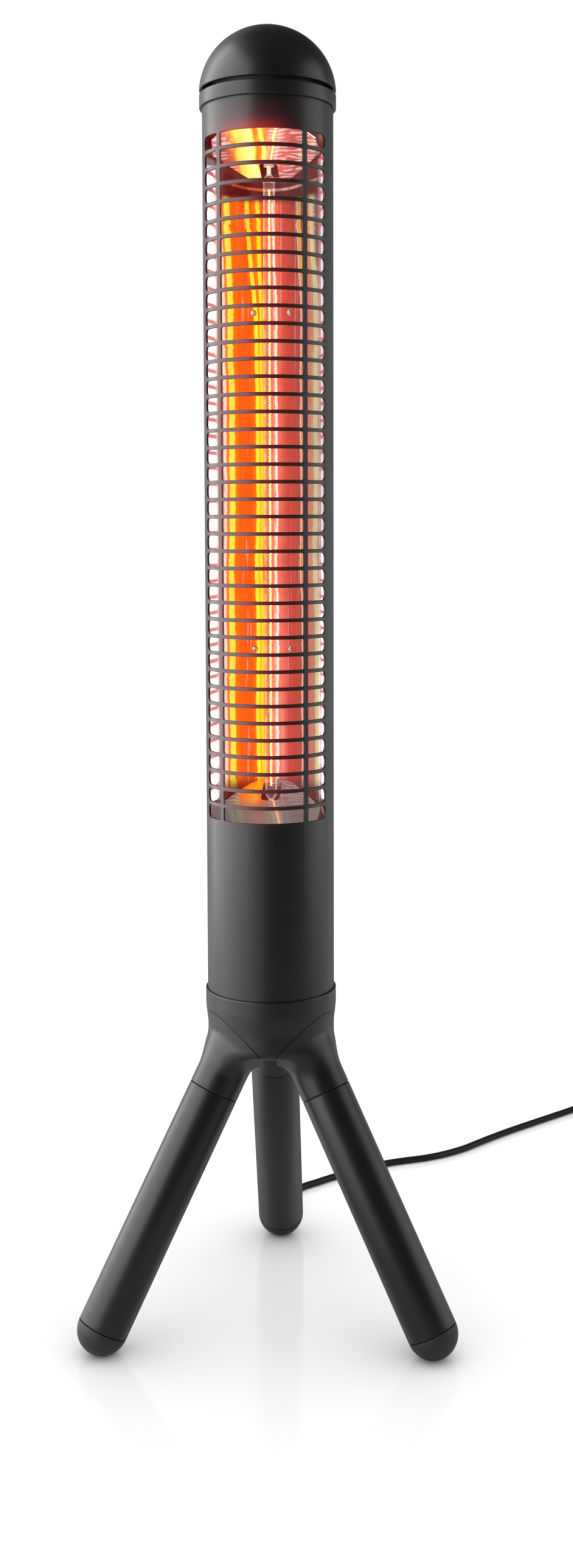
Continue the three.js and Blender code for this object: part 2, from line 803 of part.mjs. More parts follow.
function socketSkin() {
  const rows = socketRowShares.length;
  const around = 2 * socketTurnShares.length;
  const half = Math.PI / legTurns.length;
  const pastSector = (x, y) => Math.abs(y) * Math.cos(half) - x * Math.sin(half) - sectorSpare;
  const field = (x, y, z) => Math.max(turnedField(x, y, z), pastSector(x, y));
  const skin = ringSkin((row, share) => {
    const ringRow = socketRowShares[THREE.MathUtils.clamp(row - 1, 0, rows - 1)];
    const along = THREE.MathUtils.lerp(seamAlong, socketEnd, ringRow);
    const angle = THREE.MathUtils.lerp(seamTilt, legTilt, THREE.MathUtils.smoothstep(ringRow, 0, 1));
    const start = [along * legAlong[0], 0, apexHeight + along * legAlong[1]];
    if (row === 0 || row === rows + 1) return start;
    const turn = socketTurn(Math.round(share * around));
    const up = Math.cos(turn);
    const direction = [up * Math.cos(angle), Math.sin(turn), up * Math.sin(angle)];
    const distance = reachOf(field, start, direction, toolSpan);
    return start.map((value, i) => value + direction[i] * distance);
  }, rows, around);
  const neighbours = [-1, 1].map((side) => (
    block(toolSpan, toolSpan, 2 * toolSpan)
      .translate((toolSpan - slipGap) / 2, 0, hubUnderside)
      .rotateZ(side * legSector)));
  return cut(skin, ...neighbours);
}

// The hub field with the first leg turned to +X, so that all three sockets share one shape.
function turnedField(x, y, z) {
  const turn = legTurns[0];
  return hubField(
    x * Math.cos(turn) - y * Math.sin(turn), x * Math.sin(turn) + y * Math.cos(turn), z);
}

function hubBoltPlaces() {
  return [hubBoltSpread, -hubBoltSpread];
}

function legSocket() {
  const spigotRadius = legRadius - legWall - slipGap;
  const alongLeg = (geometry) => geometry.rotateY(-legTilt).translate(0, 0, apexHeight);
  const spigot = alongLeg(bar(spigotRadius, -socketEnd - socketSpigot, -socketEnd + overrun, roundFacets));
  const leadHole = alongLeg(bar(leadHoleRadius, -socketEnd - socketSpigot - overrun, -seamAlong / 2));
  const boltTip = hubFloor - hubBoltLength - slipGap;
  const boltHoles = hubBoltPlaces().map((side) => (
    bar(hubBoltRadius + slipGap, boltTip, hubTop).translate(hubBoltReach, side, 0)));
  return cut(join(socketSkin(), spigot), leadHole, ...boltHoles);
}

// Hub: a ring that takes the tube, with three webs that reach down between the sockets.
const hubLevelShares = [0, 0.06, 0.18, 0.36, 0.75, 0.98, 1];

function hubRing() {
  const levels = hubLevelShares.length;
  const low = hubUnderside + slipGap;
  const around = 40;
  const skin = ringSkin((row, share) => {
    const level = hubLevelShares[THREE.MathUtils.clamp(row - 1, 0, levels - 1)];
    const height = THREE.MathUtils.lerp(low, hubTop, level);
    if (row === 0 || row === levels + 1) return [0, 0, height];
    const turn = share * fullTurn;
    const direction = [Math.cos(turn), Math.sin(turn), 0];
    const inset = level === 1 ? hubRimRound : 0;
    const distance = reachOf(hubField, [0, 0, height], direction, 2 * hubRimRadius) - inset;
    return [direction[0] * distance, direction[1] * distance, height];
  }, levels, around);
  const groove = ring(tubeRadius + slipGap, innerFit, tubeBottom - slipGap, hubTop + overrun);
  groove.rotateZ(towerTurn);
  const well = bar(innerFit - hubSpigotWall, hubFloor, hubTop + overrun, wallFacets);
  const cuts = legTurns.flatMap((turn) => {
    const below = block(toolSpan, toolSpan, toolSpan).translate(0, 0, -toolSpan / 2).rotateY(-seamTilt);
    const holes = hubBoltPlaces().map((spread) => (
      bar(hubBoltRadius + slipGap, hubUnderside - overrun, hubTop).translate(hubBoltReach, spread, 0)));
    const pieces = [below.translate(0, 0, seamAtAxis + seamGap), ...holes];
    return pieces.map((piece) => piece.rotateZ(turn));
  });
  const leadHole = bar(leadHoleRadius, hubUnderside - overrun, hubFloor + overrun);
  const leadReach = seamAlong * legAlong[0];
  return cut(skin, groove, well, ...cuts, leadHole.translate(0, leadReach, 0));
}

function hubBolt(spread) {
  const seat = hubFloor + slipGap;
  const tip = hubFloor - hubBoltLength;
  return turned([
    [0, tip], [hubBoltRadius, tip], [hubBoltRadius, seat], [hubBoltHead, seat],
    [hubBoltHead, seat + hubBoltHeadHeight], [0, seat + hubBoltHeadHeight],
  ], smallFacets).translate(hubBoltReach, spread, 0);
}

function legTube() {
  const low = seamGap - footCentreAlong;
  return ring(legRadius, legRadius - legWall, low, -socketEnd - seamGap, roundFacets);
}

// Foot: a round rubber end, flat where it meets the floor, with a plug up into the tube.
function foot() {
  const steps = 6;
  const ball = arcPoints(legRadius, -quarterTurn, 0, steps);
  const plug = legRadius - legWall - slipGap;
  ball[0] = [0, -legRadius];
  const profile = [...ball, [plug, 0], [plug, footSpigot], [0, footSpigot]];
  const whole = turned(profile, roundFacets).rotateY(-legTilt).translate(footCircle, 0, footCentreHeight);
  const ground = block(toolSpan, toolSpan, toolSpan).translate(footCircle, 0, -toolSpan / 2);
  return cut(whole, ground);
}

// Tip-over switch: a bob that hangs on a pin in an open-fronted case.
const tiltBase = hubFloor + slipGap;
const tiltPinHeight = tiltBase + tiltHeight - tiltPinDrop;
const terminalTop = tiltBase + terminalHeight + slipGap;
const terminalEntry = tiltBase + terminalEntryRise;
const wirePost = terminalRear - terminalDepth / 2;

function tiltCase() {
  const outer = block(tiltWidth, tiltDepth, tiltHeight);
  const inner = block(tiltWidth - 2 * tiltWall, tiltDepth, tiltHeight - 2 * tiltWall);
  const shell = cut(outer, inner.translate(0, -tiltWall, 0));
  shell.translate(0, -tiltForward, tiltBase + tiltHeight / 2);
  const back = -tiltForward + tiltDepth / 2;
  const pinHole = barAlongY(tiltPinRadius + slipGap, back - 2 * tiltWall, back + overrun);
  return cut(shell, pinHole.translate(0, 0, tiltPinHeight));
}

function tiltPin() {
  const back = -tiltForward + tiltDepth / 2;
  const front = -tiltForward - tiltDepth / 2;
  const head = back - tiltDepth + tiltWall;
  const profile = [
    [0, front], [2 * tiltPinRadius, front], [2 * tiltPinRadius, head], [tiltPinRadius, head],
    [tiltPinRadius, back], [0, back],
  ];
  return turned(profile, smallFacets).rotateX(-quarterTurn).translate(0, 0, tiltPinHeight);
}

function tiltBob() {
  const near = -tiltForward - bobThickness / 2 + tiltWall / 2;
  const far = near + bobThickness;
  const eye = barAlongY(bobEyeRadius, near, far);
  const arm = block(bobArmWidth, bobThickness, bobArm).translate(0, (near + far) / 2, -bobArm / 2);
  const weight = barAlongY(bobRadius, near, far, roundFacets).translate(0, 0, -bobArm);
  const bore = barAlongY(tiltPinRadius + slipGap, near - overrun, far + overrun);
  return cut(join(eye, arm, weight), bore).translate(0, 0, tiltPinHeight);
}

function terminalBlock() {
  const body = block(terminalWidth, terminalDepth, terminalHeight)
    .translate(0, terminalRear - terminalDepth / 2, tiltBase + terminalHeight / 2);
  const holes = [-1, 1].map((side) => (
    barAlongY(terminalHoleRadius, terminalRear - terminalDepth - overrun, terminalRear + overrun)
      .translate(side * terminalHoleSpread, 0, terminalEntry)));
  return cut(body, ...holes);
}

// Tube along a smooth route, as one extrusion of a round section.
function cable(points, radius, sides, steps) {
  const section = outline(arcPoints(radius, 0, fullTurn * (sides - 1) / sides, sides - 1));
  const extrudePath = new THREE.CatmullRomCurve3(points.map((point) => new THREE.Vector3(...point)));
  return closed(new THREE.ExtrudeGeometry(section, { steps, bevelEnabled: false, extrudePath }));
}

// Gland and lead share one line out of the back leg. Its leg lies along +Y here.
const glandAxis = [0, Math.cos(glandDroop), -Math.sin(glandDroop)];
const glandRoot = [0, (apexHeight - glandHeight) * Math.tan(legTilt), glandHeight];
const axisShare = glandAxis[1] * legAlong[0] + glandAxis[2] * legAlong[1];
const glandWall = legRadius / Math.sqrt(1 - axisShare ** 2);
const glandTip = glandWall + glandOutside;
const alongGland = (distance) => glandRoot.map((value, i) => value + glandAxis[i] * distance);

function placeOnGland(geometry) {
  return geometry.rotateX(-quarterTurn - glandDroop).translate(...glandRoot);
}

function legCore(radius) {
  const whole = bar(radius, -footCentreAlong, -socketEnd, roundFacets);
  return whole.rotateY(-legTilt).translate(0, 0, apexHeight).rotateZ(quarterTurn);
}

function leadGland() {
  const start = glandWall - glandInside;
  const bore = leadRadius + slipGap;
  const sleeve = placeOnGland(turned([
    [bore, start], [glandRadius, start], [glandRadius, glandWall + glandCollar],
    [glandTipRadius, glandTip], [bore, glandTip], [bore, start],
  ], smallFacets));
  const collar = placeOnGland(ring(
    glandCollarRadius, glandRadius - slipGap, start, glandWall + glandCollar, smallFacets));
  return join(sleeve, cut(collar, legCore(legRadius + slipGap)));
}

const onAxisShares = [0.85, 0.8, 0.7, 0.15, 0];

// Free stretch of the lead: floor points run out from the gland to the start of the coil.
const routePoints = [
  [0.3, 230, 30.2], [1.2, 241.5, 19.2], [3.4, 253, 10], [7, 265, 5], [13.2, 277, 3.65], [21.6, 287.4, 3.65],
  [34, 297.6, 3.65],
  [47.5, 309.5, 3.65], [62, 320.5, 3.65], [80, 334, 3.65], [98, 346, 3.65], [117, 357, 3.65],
  [138, 365.5, 3.65],
  [160, 373.5, 3.65], [183, 386, 3.65], [205, 402.5, 3.65], [221, 418.5, 3.65], [237, 435, 3.65],
  [256, 453.5, 3.65], [276, 472, 3.65], [297, 490.5, 3.65], [317.5, 508.5, 3.65], [333, 522, 3.65],
  [350, 537.2, 3.65], [366, 551, 4.1],
];
const heading = [Math.cos(coilHeading), Math.sin(coilHeading)];
const diameter = 2 * leadRadius;

function mainsLead() {
  const startAt = alongGland(glandTip + slipGap);
  const settleAt = alongGland(glandTip + slipGap + diameter);
  const back = (distance) => [
    coilStart.x - heading[0] * distance, coilStart.y - heading[1] * distance, coilLift];
  const straight = [3, 2].map((count) => back(count * diameter));
  const points = [startAt, settleAt, ...routePoints, ...straight, back(diameter + slipGap)];
  return cable(points, leadRadius, leadSides, 56);
}

// Coil: spirals in on the floor, climbs a layer in the half turn where it reverses, spirals out.
const coilOuter = coilMeanRadius + coilPitch * coilTurns / 4;
const coilCentre = [
  coilStart.x + heading[1] * coilOuter,
  coilStart.y - heading[0] * coilOuter,
];

function coilPlace(turns) {
  const half = coilTurns / 2;
  const radius = coilOuter - coilPitch * (turns < half ? turns : coilTurns - turns);
  const climb = THREE.MathUtils.smoothstep(turns, half - 0.25, half + 0.25);
  const angle = coilHeading + quarterTurn - turns * fullTurn;
  return [
    coilCentre[0] + radius * Math.cos(angle),
    coilCentre[1] + radius * Math.sin(angle),
    coilLift + coilPitch * climb,
  ];
}

// The plug's rim rests on the floor, so its axis climbs a little from the coil's tail.
const tailHeight = coilLift + coilPitch;
const plugRimReach = diameter + plugSleeveLength + plugLength - plugRimLength;
const plugTilt = Math.asin((plugRadius - tailHeight) / plugRimReach);

function coilRoute() {
  const count = Math.round(coilTurns * coilStepsPerTurn);
  const turnsOf = Array.from({ length: count + 1 }, (_, i) => coilPlace(i * coilTurns / count));
  const start = coilStart;
  const lead = [start.x - heading[0] * diameter, start.y - heading[1] * diameter, coilLift];
  const last = turnsOf[count];
  const endAngle = coilHeading - coilTurns * fullTurn;
  const away = [Math.cos(endAngle), Math.sin(endAngle)];
  const bendAt = coilTail - diameter;
  const rise = Math.tan(plugTilt);
  const bend = [last[0] + away[0] * bendAt, last[1] + away[1] * bendAt, last[2]];
  const tip = [last[0] + away[0] * coilTail, last[1] + away[1] * coilTail, last[2] + rise * diameter];
  return { points: [lead, ...turnsOf, bend, tip], tip, away };
}

// Sweeps a regular section along points, none of them heading along the given side, as one skin.
function sweep(points, radius, sides, side) {
  const place = points.map((point) => new THREE.Vector3(...point));
  const rowPoint = (row, share) => {
    const i = THREE.MathUtils.clamp(row - 1, 0, place.length - 1);
    if (row === 0 || row === place.length + 1) return place[i].toArray();
    const before = place[Math.max(i - 1, 0)];
    const after = place[Math.min(i + 1, place.length - 1)];
    const along = after.clone().sub(before).normalize();
    const across = along.clone().cross(side).normalize();
    const over = across.clone().cross(along);
    const turn = share * fullTurn + Math.PI / sides;
    return place[i].clone()
      .addScaledVector(across, radius * Math.cos(turn))
      .addScaledVector(over, radius * Math.sin(turn)).toArray();
  };
  return ringSkin(rowPoint, place.length, sides);
}

function distanceBetween(a, b) {
  return Math.hypot(a[0] - b[0], a[1] - b[1], a[2] - b[2]);
}

function lengthOf(points) {
  return points.slice(1).reduce((sum, point, i) => sum + distanceBetween(point, points[i]), 0);
}

// Least gap between stretches of the coil that lie more than half a turn apart along it.
function leastGap(points) {
  const apart = coilStepsPerTurn / 2;
  let least = Infinity;
  points.forEach((point, i) => {
    points.slice(i + apart).forEach((other) => {
      least = Math.min(least, distanceBetween(point, other) - diameter);
    });
  });
  return least;
}

const coil = coilRoute();
console.log(`coil: length ${lengthOf(coil.points).toFixed(0)} mm, least gap to itself ${
  leastGap(coil.points).toFixed(2)} mm`);

// Tie: a flat band round all the turns, across from where the lead comes in.
function coilTie() {
  const inner = coilOuter - coilPitch * coilTurns / 2 - leadRadius - tiePlay;
  const outer = coilOuter + leadRadius + tiePlay;
  const low = coilLift - leadRadius - tiePlay;
  const high = coilLift + coilPitch + leadRadius + tiePlay;
  const frame = (margin) => outline([
    [inner - margin, low - margin], [outer + margin, low - margin],
    [outer + margin, high + margin], [inner - margin, high + margin],
  ]);
  const band = cut(
    prism(frame(tieThickness), -tieWidth / 2, tieWidth / 2),
    prism(frame(0), -tieWidth, tieWidth),
  ).rotateX(quarterTurn);
  const turn = coilHeading - quarterTurn * tieTurnShare;
  return band.rotateZ(turn).translate(coilCentre[0], coilCentre[1], 0);
}

// Plug: made along +Z from the end of its sleeve, laid down along the coil's tail.
function placePlug(geometry) {
  const heading3 = new THREE.Vector3(
    coil.away[0] * Math.cos(plugTilt), coil.away[1] * Math.cos(plugTilt), Math.sin(plugTilt));
  const turn = new THREE.Quaternion().setFromUnitVectors(new THREE.Vector3(0, 0, 1), heading3);
  const start = new THREE.Vector3(...coil.tip).addScaledVector(heading3, slipGap);
  return geometry.applyQuaternion(turn).translate(start.x, start.y, start.z);
}

function plugBody() {
  const bodyStart = plugSleeveLength;
  const shoulder = bodyStart + plugLength - plugRimLength;
  const end = bodyStart + plugLength;
  const body = turned([
    [0, 0], [leadRadius + slipGap, 0], [plugSleeveRadius, bodyStart * plugSleeveShare],
    [plugRadius * plugWaistShare, bodyStart + slipGap],
    [plugRadius * plugFlareShare, shoulder - overrun], [plugRadius, shoulder], [plugRadius, end], [0, end],
  ], roundFacets);
  const holes = [-1, 1].map((side) => (
    bar(plugPinRadius + slipGap, shoulder, end + overrun).translate(side * plugPinSpread, 0, 0)));
  return placePlug(cut(body, ...holes));
}

function plugPin(side) {
  const end = plugSleeveLength + plugLength;
  const low = end - plugRimLength + slipGap;
  const tip = end + plugPinLength;
  const nose = plugPinRadius / 2;
  return placePlug(turned([
    [0, low], [plugPinRadius, low], [plugPinRadius, tip - nose], [nose, tip], [0, tip],
  ], smallFacets).translate(side * plugPinSpread, 0, 0));
}

// Wires inside: from the lamp's two ends to the switch and the terminal block.
const wire = (points) => sweep(points, wireRadius, wireSides, new THREE.Vector3(1, 0, 0));

function upperLampWire() {
  const start = quartzTopEnd - ceramicGrip + ceramicLength + slipGap;
  const reach = (wireHoleBack - lampBack) / 2;
  const middle = lampBack + reach;
  const arch = arcPoints(reach, Math.PI, 0, 6).map(([y, z]) => [0, middle + y, topBulkheadTop + z]);
  return wire([
    [0, lampBack, start], ...arch, [0, wireHoleBack, lowerBulkheadBottom],
    [0, switchBodyFace - switchBodyDepth / 2, wireEnd],
  ]);
}

function lowerLampWire() {
  const start = quartzLowEnd + ceramicGrip - ceramicLength - slipGap;
  return wire([
    [0, lampBack, start], [0, lampBack, lowerBulkheadBottom], [-wireArch / 2, 0, switchHeight],
    [-terminalHoleSpread, wirePost, terminalTop + wireArch], [-terminalHoleSpread, wirePost, terminalTop],
  ]);
}

function switchWire() {
  const middle = switchBodyFace - switchBodyDepth / 2;
  const low = switchHeight - switchBodyHeight / 2 - slipGap;
  return wire([
    [0, middle, low], [0, middle, low - wireArch],
    [terminalHoleSpread, wirePost, terminalTop + wireArch], [terminalHoleSpread, wirePost, terminalTop],
  ]);
}

// The mains lead goes on from the gland up the back leg to the terminal block.
function innerLead() {
  const bendReach = hubFloor + leadRadius - terminalEntry;
  const onAxis = (share) => {
    const along = THREE.MathUtils.lerp(seamAlong, footCentreAlong, share);
    return [0, along * legAlong[0], apexHeight + along * legAlong[1]];
  };
  const seamPlace = onAxis(0);
  return sweep([
    alongGland(glandWall - glandInside - slipGap), alongGland(glandWall / 2), ...onAxisShares.map(onAxis),
    [0, seamPlace[1], hubFloor - leadRadius], [0, seamPlace[1] + bendReach / 2, terminalEntry - leadRadius],
    [0, terminalRear + diameter, terminalEntry], [0, terminalRear + slipGap, terminalEntry],
  ], leadRadius - slipGap, leadSides, new THREE.Vector3(1, 0, 0));
}

add(tower, 'dome_cap', domeCap(), 'powderCoat');
add(tower, 'cap_neck', capNeck(), 'darkPlastic');
add(tower, 'cap_screw', capScrew(), 'steel');
add(tower, 'top_collar', topCollar(), 'powderCoat');
add(tower, 'body_tube', bodyTube(), 'powderCoat');
add(tower, 'upper_bulkhead', bulkhead(topBulkheadBottom), 'steel');
add(tower, 'lower_bulkhead', bulkhead(lowerBulkheadBottom), 'steel');
add(tower, 'lamp_reflector', trough(), 'polished');
add(tower, 'upper_end_reflector', endPlate(upperPlate, topBulkheadTop - upperPlate.inset), 'polished');
add(tower, 'lower_end_reflector', endPlate(lowerPlate, lowerBulkheadTop + lowerPlate.inset), 'polished');
add(tower, 'quartz_tube', quartzTube(), 'quartz');
add(tower, 'lamp_filament', filament(), 'glowing');

const upperCeramicMouth = quartzTopEnd - ceramicGrip;
const lowerCeramicMouth = quartzLowEnd + ceramicGrip;
const upperCeramicTip = upperCeramicMouth + ceramicLength;
const lowerCeramicTip = lowerCeramicMouth - ceramicLength;
add(tower, 'upper_lamp_ceramic', ceramicEnd(upperCeramicMouth, 1), 'ceramic');
add(tower, 'lower_lamp_ceramic', ceramicEnd(lowerCeramicMouth, -1), 'ceramic');
add(tower, 'upper_lamp_holder', lampHolder(upperCeramicTip, topBulkheadBottom, 1), 'steel');
add(tower, 'lower_lamp_holder', lampHolder(lowerCeramicTip, lowerBulkheadTop, -1), 'steel');

bracketHeights.forEach((height, i) => {
  const place = ['upper', 'lower'][i];
  add(tower, `${place}_reflector_bracket`, troughBracket(height), 'steel');
  add(tower, `${place}_rivet_left`, rivet(-1, height), 'steel');
  add(tower, `${place}_rivet_right`, rivet(1, height), 'steel');
  add(tower, `${place}_rear_screw`, rearScrew(height), 'steel');
});

add(tower, 'switch_bezel', switchBezel(), 'steel');
add(tower, 'switch_button', switchButton(), 'darkPlastic');
add(tower, 'switch_body', switchBody(), 'darkPlastic');

add(tower, 'upper_lamp_wire', upperLampWire(), 'leadRubber');
add(tower, 'lower_lamp_wire', lowerLampWire(), 'leadRubber');
add(tower, 'switch_wire', switchWire(), 'leadRubber');

add(stand, 'tip_switch_case', tiltCase(), 'palePlastic');
add(stand, 'tip_switch_pin', tiltPin(), 'steel');
add(stand, 'tip_switch_bob', tiltBob(), 'brass');
add(stand, 'terminal_block', terminalBlock(), 'palePlastic');

add(stand, 'hub_ring', hubRing(), 'powderCoat');
const socketShape = legSocket();
const glandHole = placeOnGland(bar(glandRadius + slipGap, 0, glandTip, smallFacets));

legTurns.forEach((turn, i) => {
  const leg = new THREE.Group();
  const slope = new THREE.Group();
  leg.rotation.z = turn;
  slope.position.z = apexHeight;
  slope.rotation.y = -legTilt;
  leg.add(slope);
  stand.add(leg);
  add(leg, `${legNames[i]}_leg_socket`, socketShape.clone(), 'powderCoat');
  add(leg, `${legNames[i]}_foot`, foot(), 'footRubber');
  hubBoltPlaces().forEach((spread, k) => {
    add(leg, `${legNames[i]}_hub_bolt_${k + 1}`, hubBolt(spread), 'steel');
  });
  if (legNames[i] === 'back') {
    const toSlope = new THREE.Matrix4().makeRotationY(legTilt)
      .multiply(new THREE.Matrix4().makeTranslation(0, 0, -apexHeight))
      .multiply(new THREE.Matrix4().makeRotationZ(-turn));
    add(slope, 'back_leg_tube', cut(legTube(), glandHole.clone().applyMatrix4(toSlope)), 'powderCoat');
  } else {
    add(slope, `${legNames[i]}_leg_tube`, legTube(), 'powderCoat');
  }
});

add(stand, 'lead_gland', leadGland(), 'leadRubber');
add(stand, 'inner_lead', innerLead(), 'leadRubber');
add(stand, 'mains_lead', mainsLead(), 'leadRubber');
const coilSkin = sweep(coil.points, leadRadius, coilSides, new THREE.Vector3(0, 0, 1));
add(stand, 'lead_coil', coilSkin, 'leadRubber');
add(stand, 'coil_tie', coilTie(), 'darkPlastic');
add(stand, 'plug_body', plugBody(), 'darkPlastic');
add(stand, 'plug_pin_left', plugPin(-1), 'brass');
add(stand, 'plug_pin_right', plugPin(1), 'brass');

export default heater;
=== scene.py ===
import math

import bmesh
import bpy
import numpy as np
from mathutils import Matrix, Vector
from mathutils.geometry import delaunay_2d_cdt


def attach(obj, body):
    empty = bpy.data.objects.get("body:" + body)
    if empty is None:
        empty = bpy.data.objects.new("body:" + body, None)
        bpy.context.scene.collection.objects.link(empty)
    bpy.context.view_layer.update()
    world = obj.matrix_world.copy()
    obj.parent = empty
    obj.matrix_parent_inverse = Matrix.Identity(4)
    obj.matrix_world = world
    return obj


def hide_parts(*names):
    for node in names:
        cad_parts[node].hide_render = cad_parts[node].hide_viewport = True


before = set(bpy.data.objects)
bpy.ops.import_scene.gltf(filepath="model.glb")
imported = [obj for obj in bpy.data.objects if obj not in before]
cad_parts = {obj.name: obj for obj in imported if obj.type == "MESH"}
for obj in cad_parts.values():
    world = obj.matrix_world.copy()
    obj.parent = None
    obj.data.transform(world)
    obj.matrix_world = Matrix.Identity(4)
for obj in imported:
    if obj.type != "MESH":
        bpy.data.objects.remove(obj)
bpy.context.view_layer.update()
collection = bpy.context.scene.collection

# Camera: stands a metre and a half in front of the heater at chest height,
# looks a little down and is shifted so that the heater fills a tall, narrow frame.
camera_place = (0.0852, -1.5729, 0.7516)
camera_yaw, camera_pitch, camera_roll = 1.826, -4.65, -0.113

studio_camera = bpy.data.objects.new("studio_camera", bpy.data.cameras.new("studio_camera"))
studio_camera.data.sensor_fit = "VERTICAL"
studio_camera.data.sensor_height = 36.0
studio_camera.data.lens = 38.26
studio_camera.data.shift_x = -0.0145
studio_camera.data.shift_y = -0.0831
studio_camera.matrix_world = (
    Matrix.Translation(camera_place)
    @ Matrix.Rotation(math.radians(camera_yaw), 4, "Z")
    @ Matrix.Rotation(math.radians(90 + camera_pitch), 4, "X")
    @ Matrix.Rotation(math.radians(camera_roll), 4, "Z"))
collection.objects.link(studio_camera)
bpy.context.scene.camera = studio_camera
bpy.context.scene.view_settings.view_transform = "Standard"


# Studio: a white room with a glossy white floor. In the gloss of things the room is darker behind
# the camera and overhead. Softboxes stand left and right, a card in front of the reflector, and
# far in front a sweep that only the floor mirrors. These four are gloss, the overhead one is light.
def fill(socket, value):
    """Sets an input to a value, or links a signal or an output to it."""
    value = getattr(value, "output", value)
    if isinstance(value, bpy.types.NodeSocket):
        socket.id_data.links.new(value, socket)
    else:
        socket.default_value = (*value, 1) if socket.type == "RGBA" and len(value) == 3 else value


def add_node(tree, kind, settings=None, **inputs):
    """A new node with its settings, and its inputs by name or, as in _0, by number."""
    node = tree.nodes.new(kind)
    for name, value in (settings or {}).items():
        setattr(node, name, value)
    for name, value in inputs.items():
        fill(node.inputs[int(name[1:]) if name[1:].isdigit() else name.replace("_", " ")], value)
    return node


class Signal:
    """An output in a node tree, which can be reckoned with, faded and used to mix."""

    def __init__(self, output):
        self.output, self.tree = output, output.id_data

    def math(self, operation, other=0.0):
        node = add_node(self.tree, "ShaderNodeMath", {"operation": operation}, _0=self, _1=other)
        return Signal(node.outputs[0])

    def __add__(self, other):
        return self.math("ADD", other)

    def __sub__(self, other):
        return self.math("SUBTRACT", other)

    def __mul__(self, other):
        return self.math("MULTIPLY", other)

    def __abs__(self):
        return self.math("ABSOLUTE")

    def larger(self, other):
        return self.math("MAXIMUM", other)

    def spread(self, start, end, low=0.0, high=1.0, kind="LINEAR"):
        """From low at start to high at end, straight."""
        return Signal(add_node(self.tree, "ShaderNodeMapRange", {"interpolation_type": kind}, Value=self,
                               From_Min=start, From_Max=end, To_Min=low, To_Max=high).outputs[0])

    def fade(self, start, end, low=0.0, high=1.0):
        """From low at start to high at end, smoothly."""
        return self.spread(start, end, low, high, "SMOOTHSTEP")

    def between(self, first, second):
        """A number between two."""
        return Signal(add_node(self.tree, "ShaderNodeMix", _0=self, _2=first, _3=second).outputs[0])

    def mix(self, first, second):
        """A colour between two."""
        return add_node(self.tree, "ShaderNodeMix", {"data_type": "RGBA"}, _0=self, _6=first,
                        _7=second).outputs[2]


def axes(vector):
    return [Signal(axis) for axis in add_node(vector.id_data, "ShaderNodeSeparateXYZ", Vector=vector).outputs]


def set_shader(shader, **values):
    for name, value in values.items():
        fill(shader.inputs[name.replace("_", " ")], value)


def new_material(name):
    """A material with an empty tree but for its Principled BSDF, which it returns too."""
    material = bpy.data.materials.new(name)
    material.use_nodes = True
    return material, material.node_tree, material.node_tree.nodes["Principled BSDF"]


def ray_kinds(tree):
    """1 for rays that look straight or through glass, and 1 for mirrored ones. Landing light has neither."""
    rays = add_node(tree, "ShaderNodeLightPath").outputs
    return Signal(rays["Is Camera Ray"]).larger(rays["Is Transmission Ray"]), Signal(rays["Is Glossy Ray"])


white_room = bpy.data.worlds.new("white_room")
white_room.use_nodes = True
room = white_room.node_tree
room.nodes.clear()
right, back, up = axes(add_node(room, "ShaderNodeTexCoord").outputs["Generated"])
past_camera = back.fade(-0.80, -0.35, 0.06, 0.82)
under_ceiling = (up * (right * 1.3 + 1.0)).fade(0.75, 0.20, 0.10)
straight, glossy = ray_kinds(room)
level = straight.between(glossy.between(0.95, past_camera * under_ceiling), 1.0)
backdrop = add_node(room, "ShaderNodeBackground", Color=(1, 1, 1), Strength=level)
add_node(room, "ShaderNodeOutputWorld", Surface=backdrop.outputs[0])
bpy.context.scene.world = white_room

softboxes = {}
for name, place, target, size, power, for_gloss in (
        ("left_softbox", (-1.5, -0.9, 1.7), (0, -0.9, 1.7), (4.0, 3.36), 286, True),
        ("right_softbox", (1.7, 0.0, 1.25), (0, 0, 1.25), (1.4, 2.4), 27, True),
        ("mirror_card", (1.05, -1.15, 0.78), (0, 0, 0.78), (1.3, 2.2), 10, True),
        ("front_sweep", (0, -6.0, 2.6), (0, 0, 2.6), (16.0, 5.2), 240, True),
        ("overhead_softbox", (0, -0.3, 2.8), (0, 0, 0), (3.0, 3.0), 10, False)):
    lamp = bpy.data.lights.new(name, "AREA")
    lamp.shape = "RECTANGLE"
    lamp.size, lamp.size_y = size
    lamp.energy = power
    softbox = bpy.data.objects.new(name, lamp)
    softbox.location = place
    softbox.rotation_euler = (Vector(target) - Vector(place)).to_track_quat("-Z", "Y").to_euler()
    softbox.visible_glossy, softbox.visible_diffuse = for_gloss, not for_gloss
    collection.objects.link(softbox)
    softboxes[name] = softbox

# What the coat mirrors of the floor is painted: dark in front, and a painted glow beside the left softbox.
# Close to things the floor's emission is darkened by ambient occlusion as painted shade, and its own gloss
# ends three metres off.
floor_half = 30.0
floor_mesh = bpy.data.meshes.new("studio_floor")
floor_corners = ((-1, -1), (1, -1), (1, 1), (-1, 1))
floor_mesh.from_pydata([(x * floor_half, y * floor_half, 0) for x, y in floor_corners], [], [(0, 1, 2, 3)])
studio_floor = bpy.data.objects.new("studio_floor", floor_mesh)
collection.objects.link(studio_floor)
floor_white, tree, shader = new_material("floor_white")
straight, glossy = ray_kinds(tree)
in_open = Signal(
    add_node(tree, "ShaderNodeAmbientOcclusion", {"samples": 8}, Distance=0.22).outputs["AO"])
on_floor = add_node(tree, "ShaderNodeNewGeometry").outputs["Position"]
right, back, _ = axes(on_floor)
far_off = Signal(
    add_node(tree, "ShaderNodeVectorMath", {"operation": "LENGTH"}, _0=on_floor).outputs["Value"])
# Painted shade in front and painted light beside the left softbox, seen only in gloss; the lift is darkened
# near things by ambient occlusion as painted shade.
painted_gloss_level = glossy.between(1.0, back.fade(-1.2, -0.55, 0.12))
lift = straight.larger(glossy) * (in_open * in_open * (painted_gloss_level * 0.225))
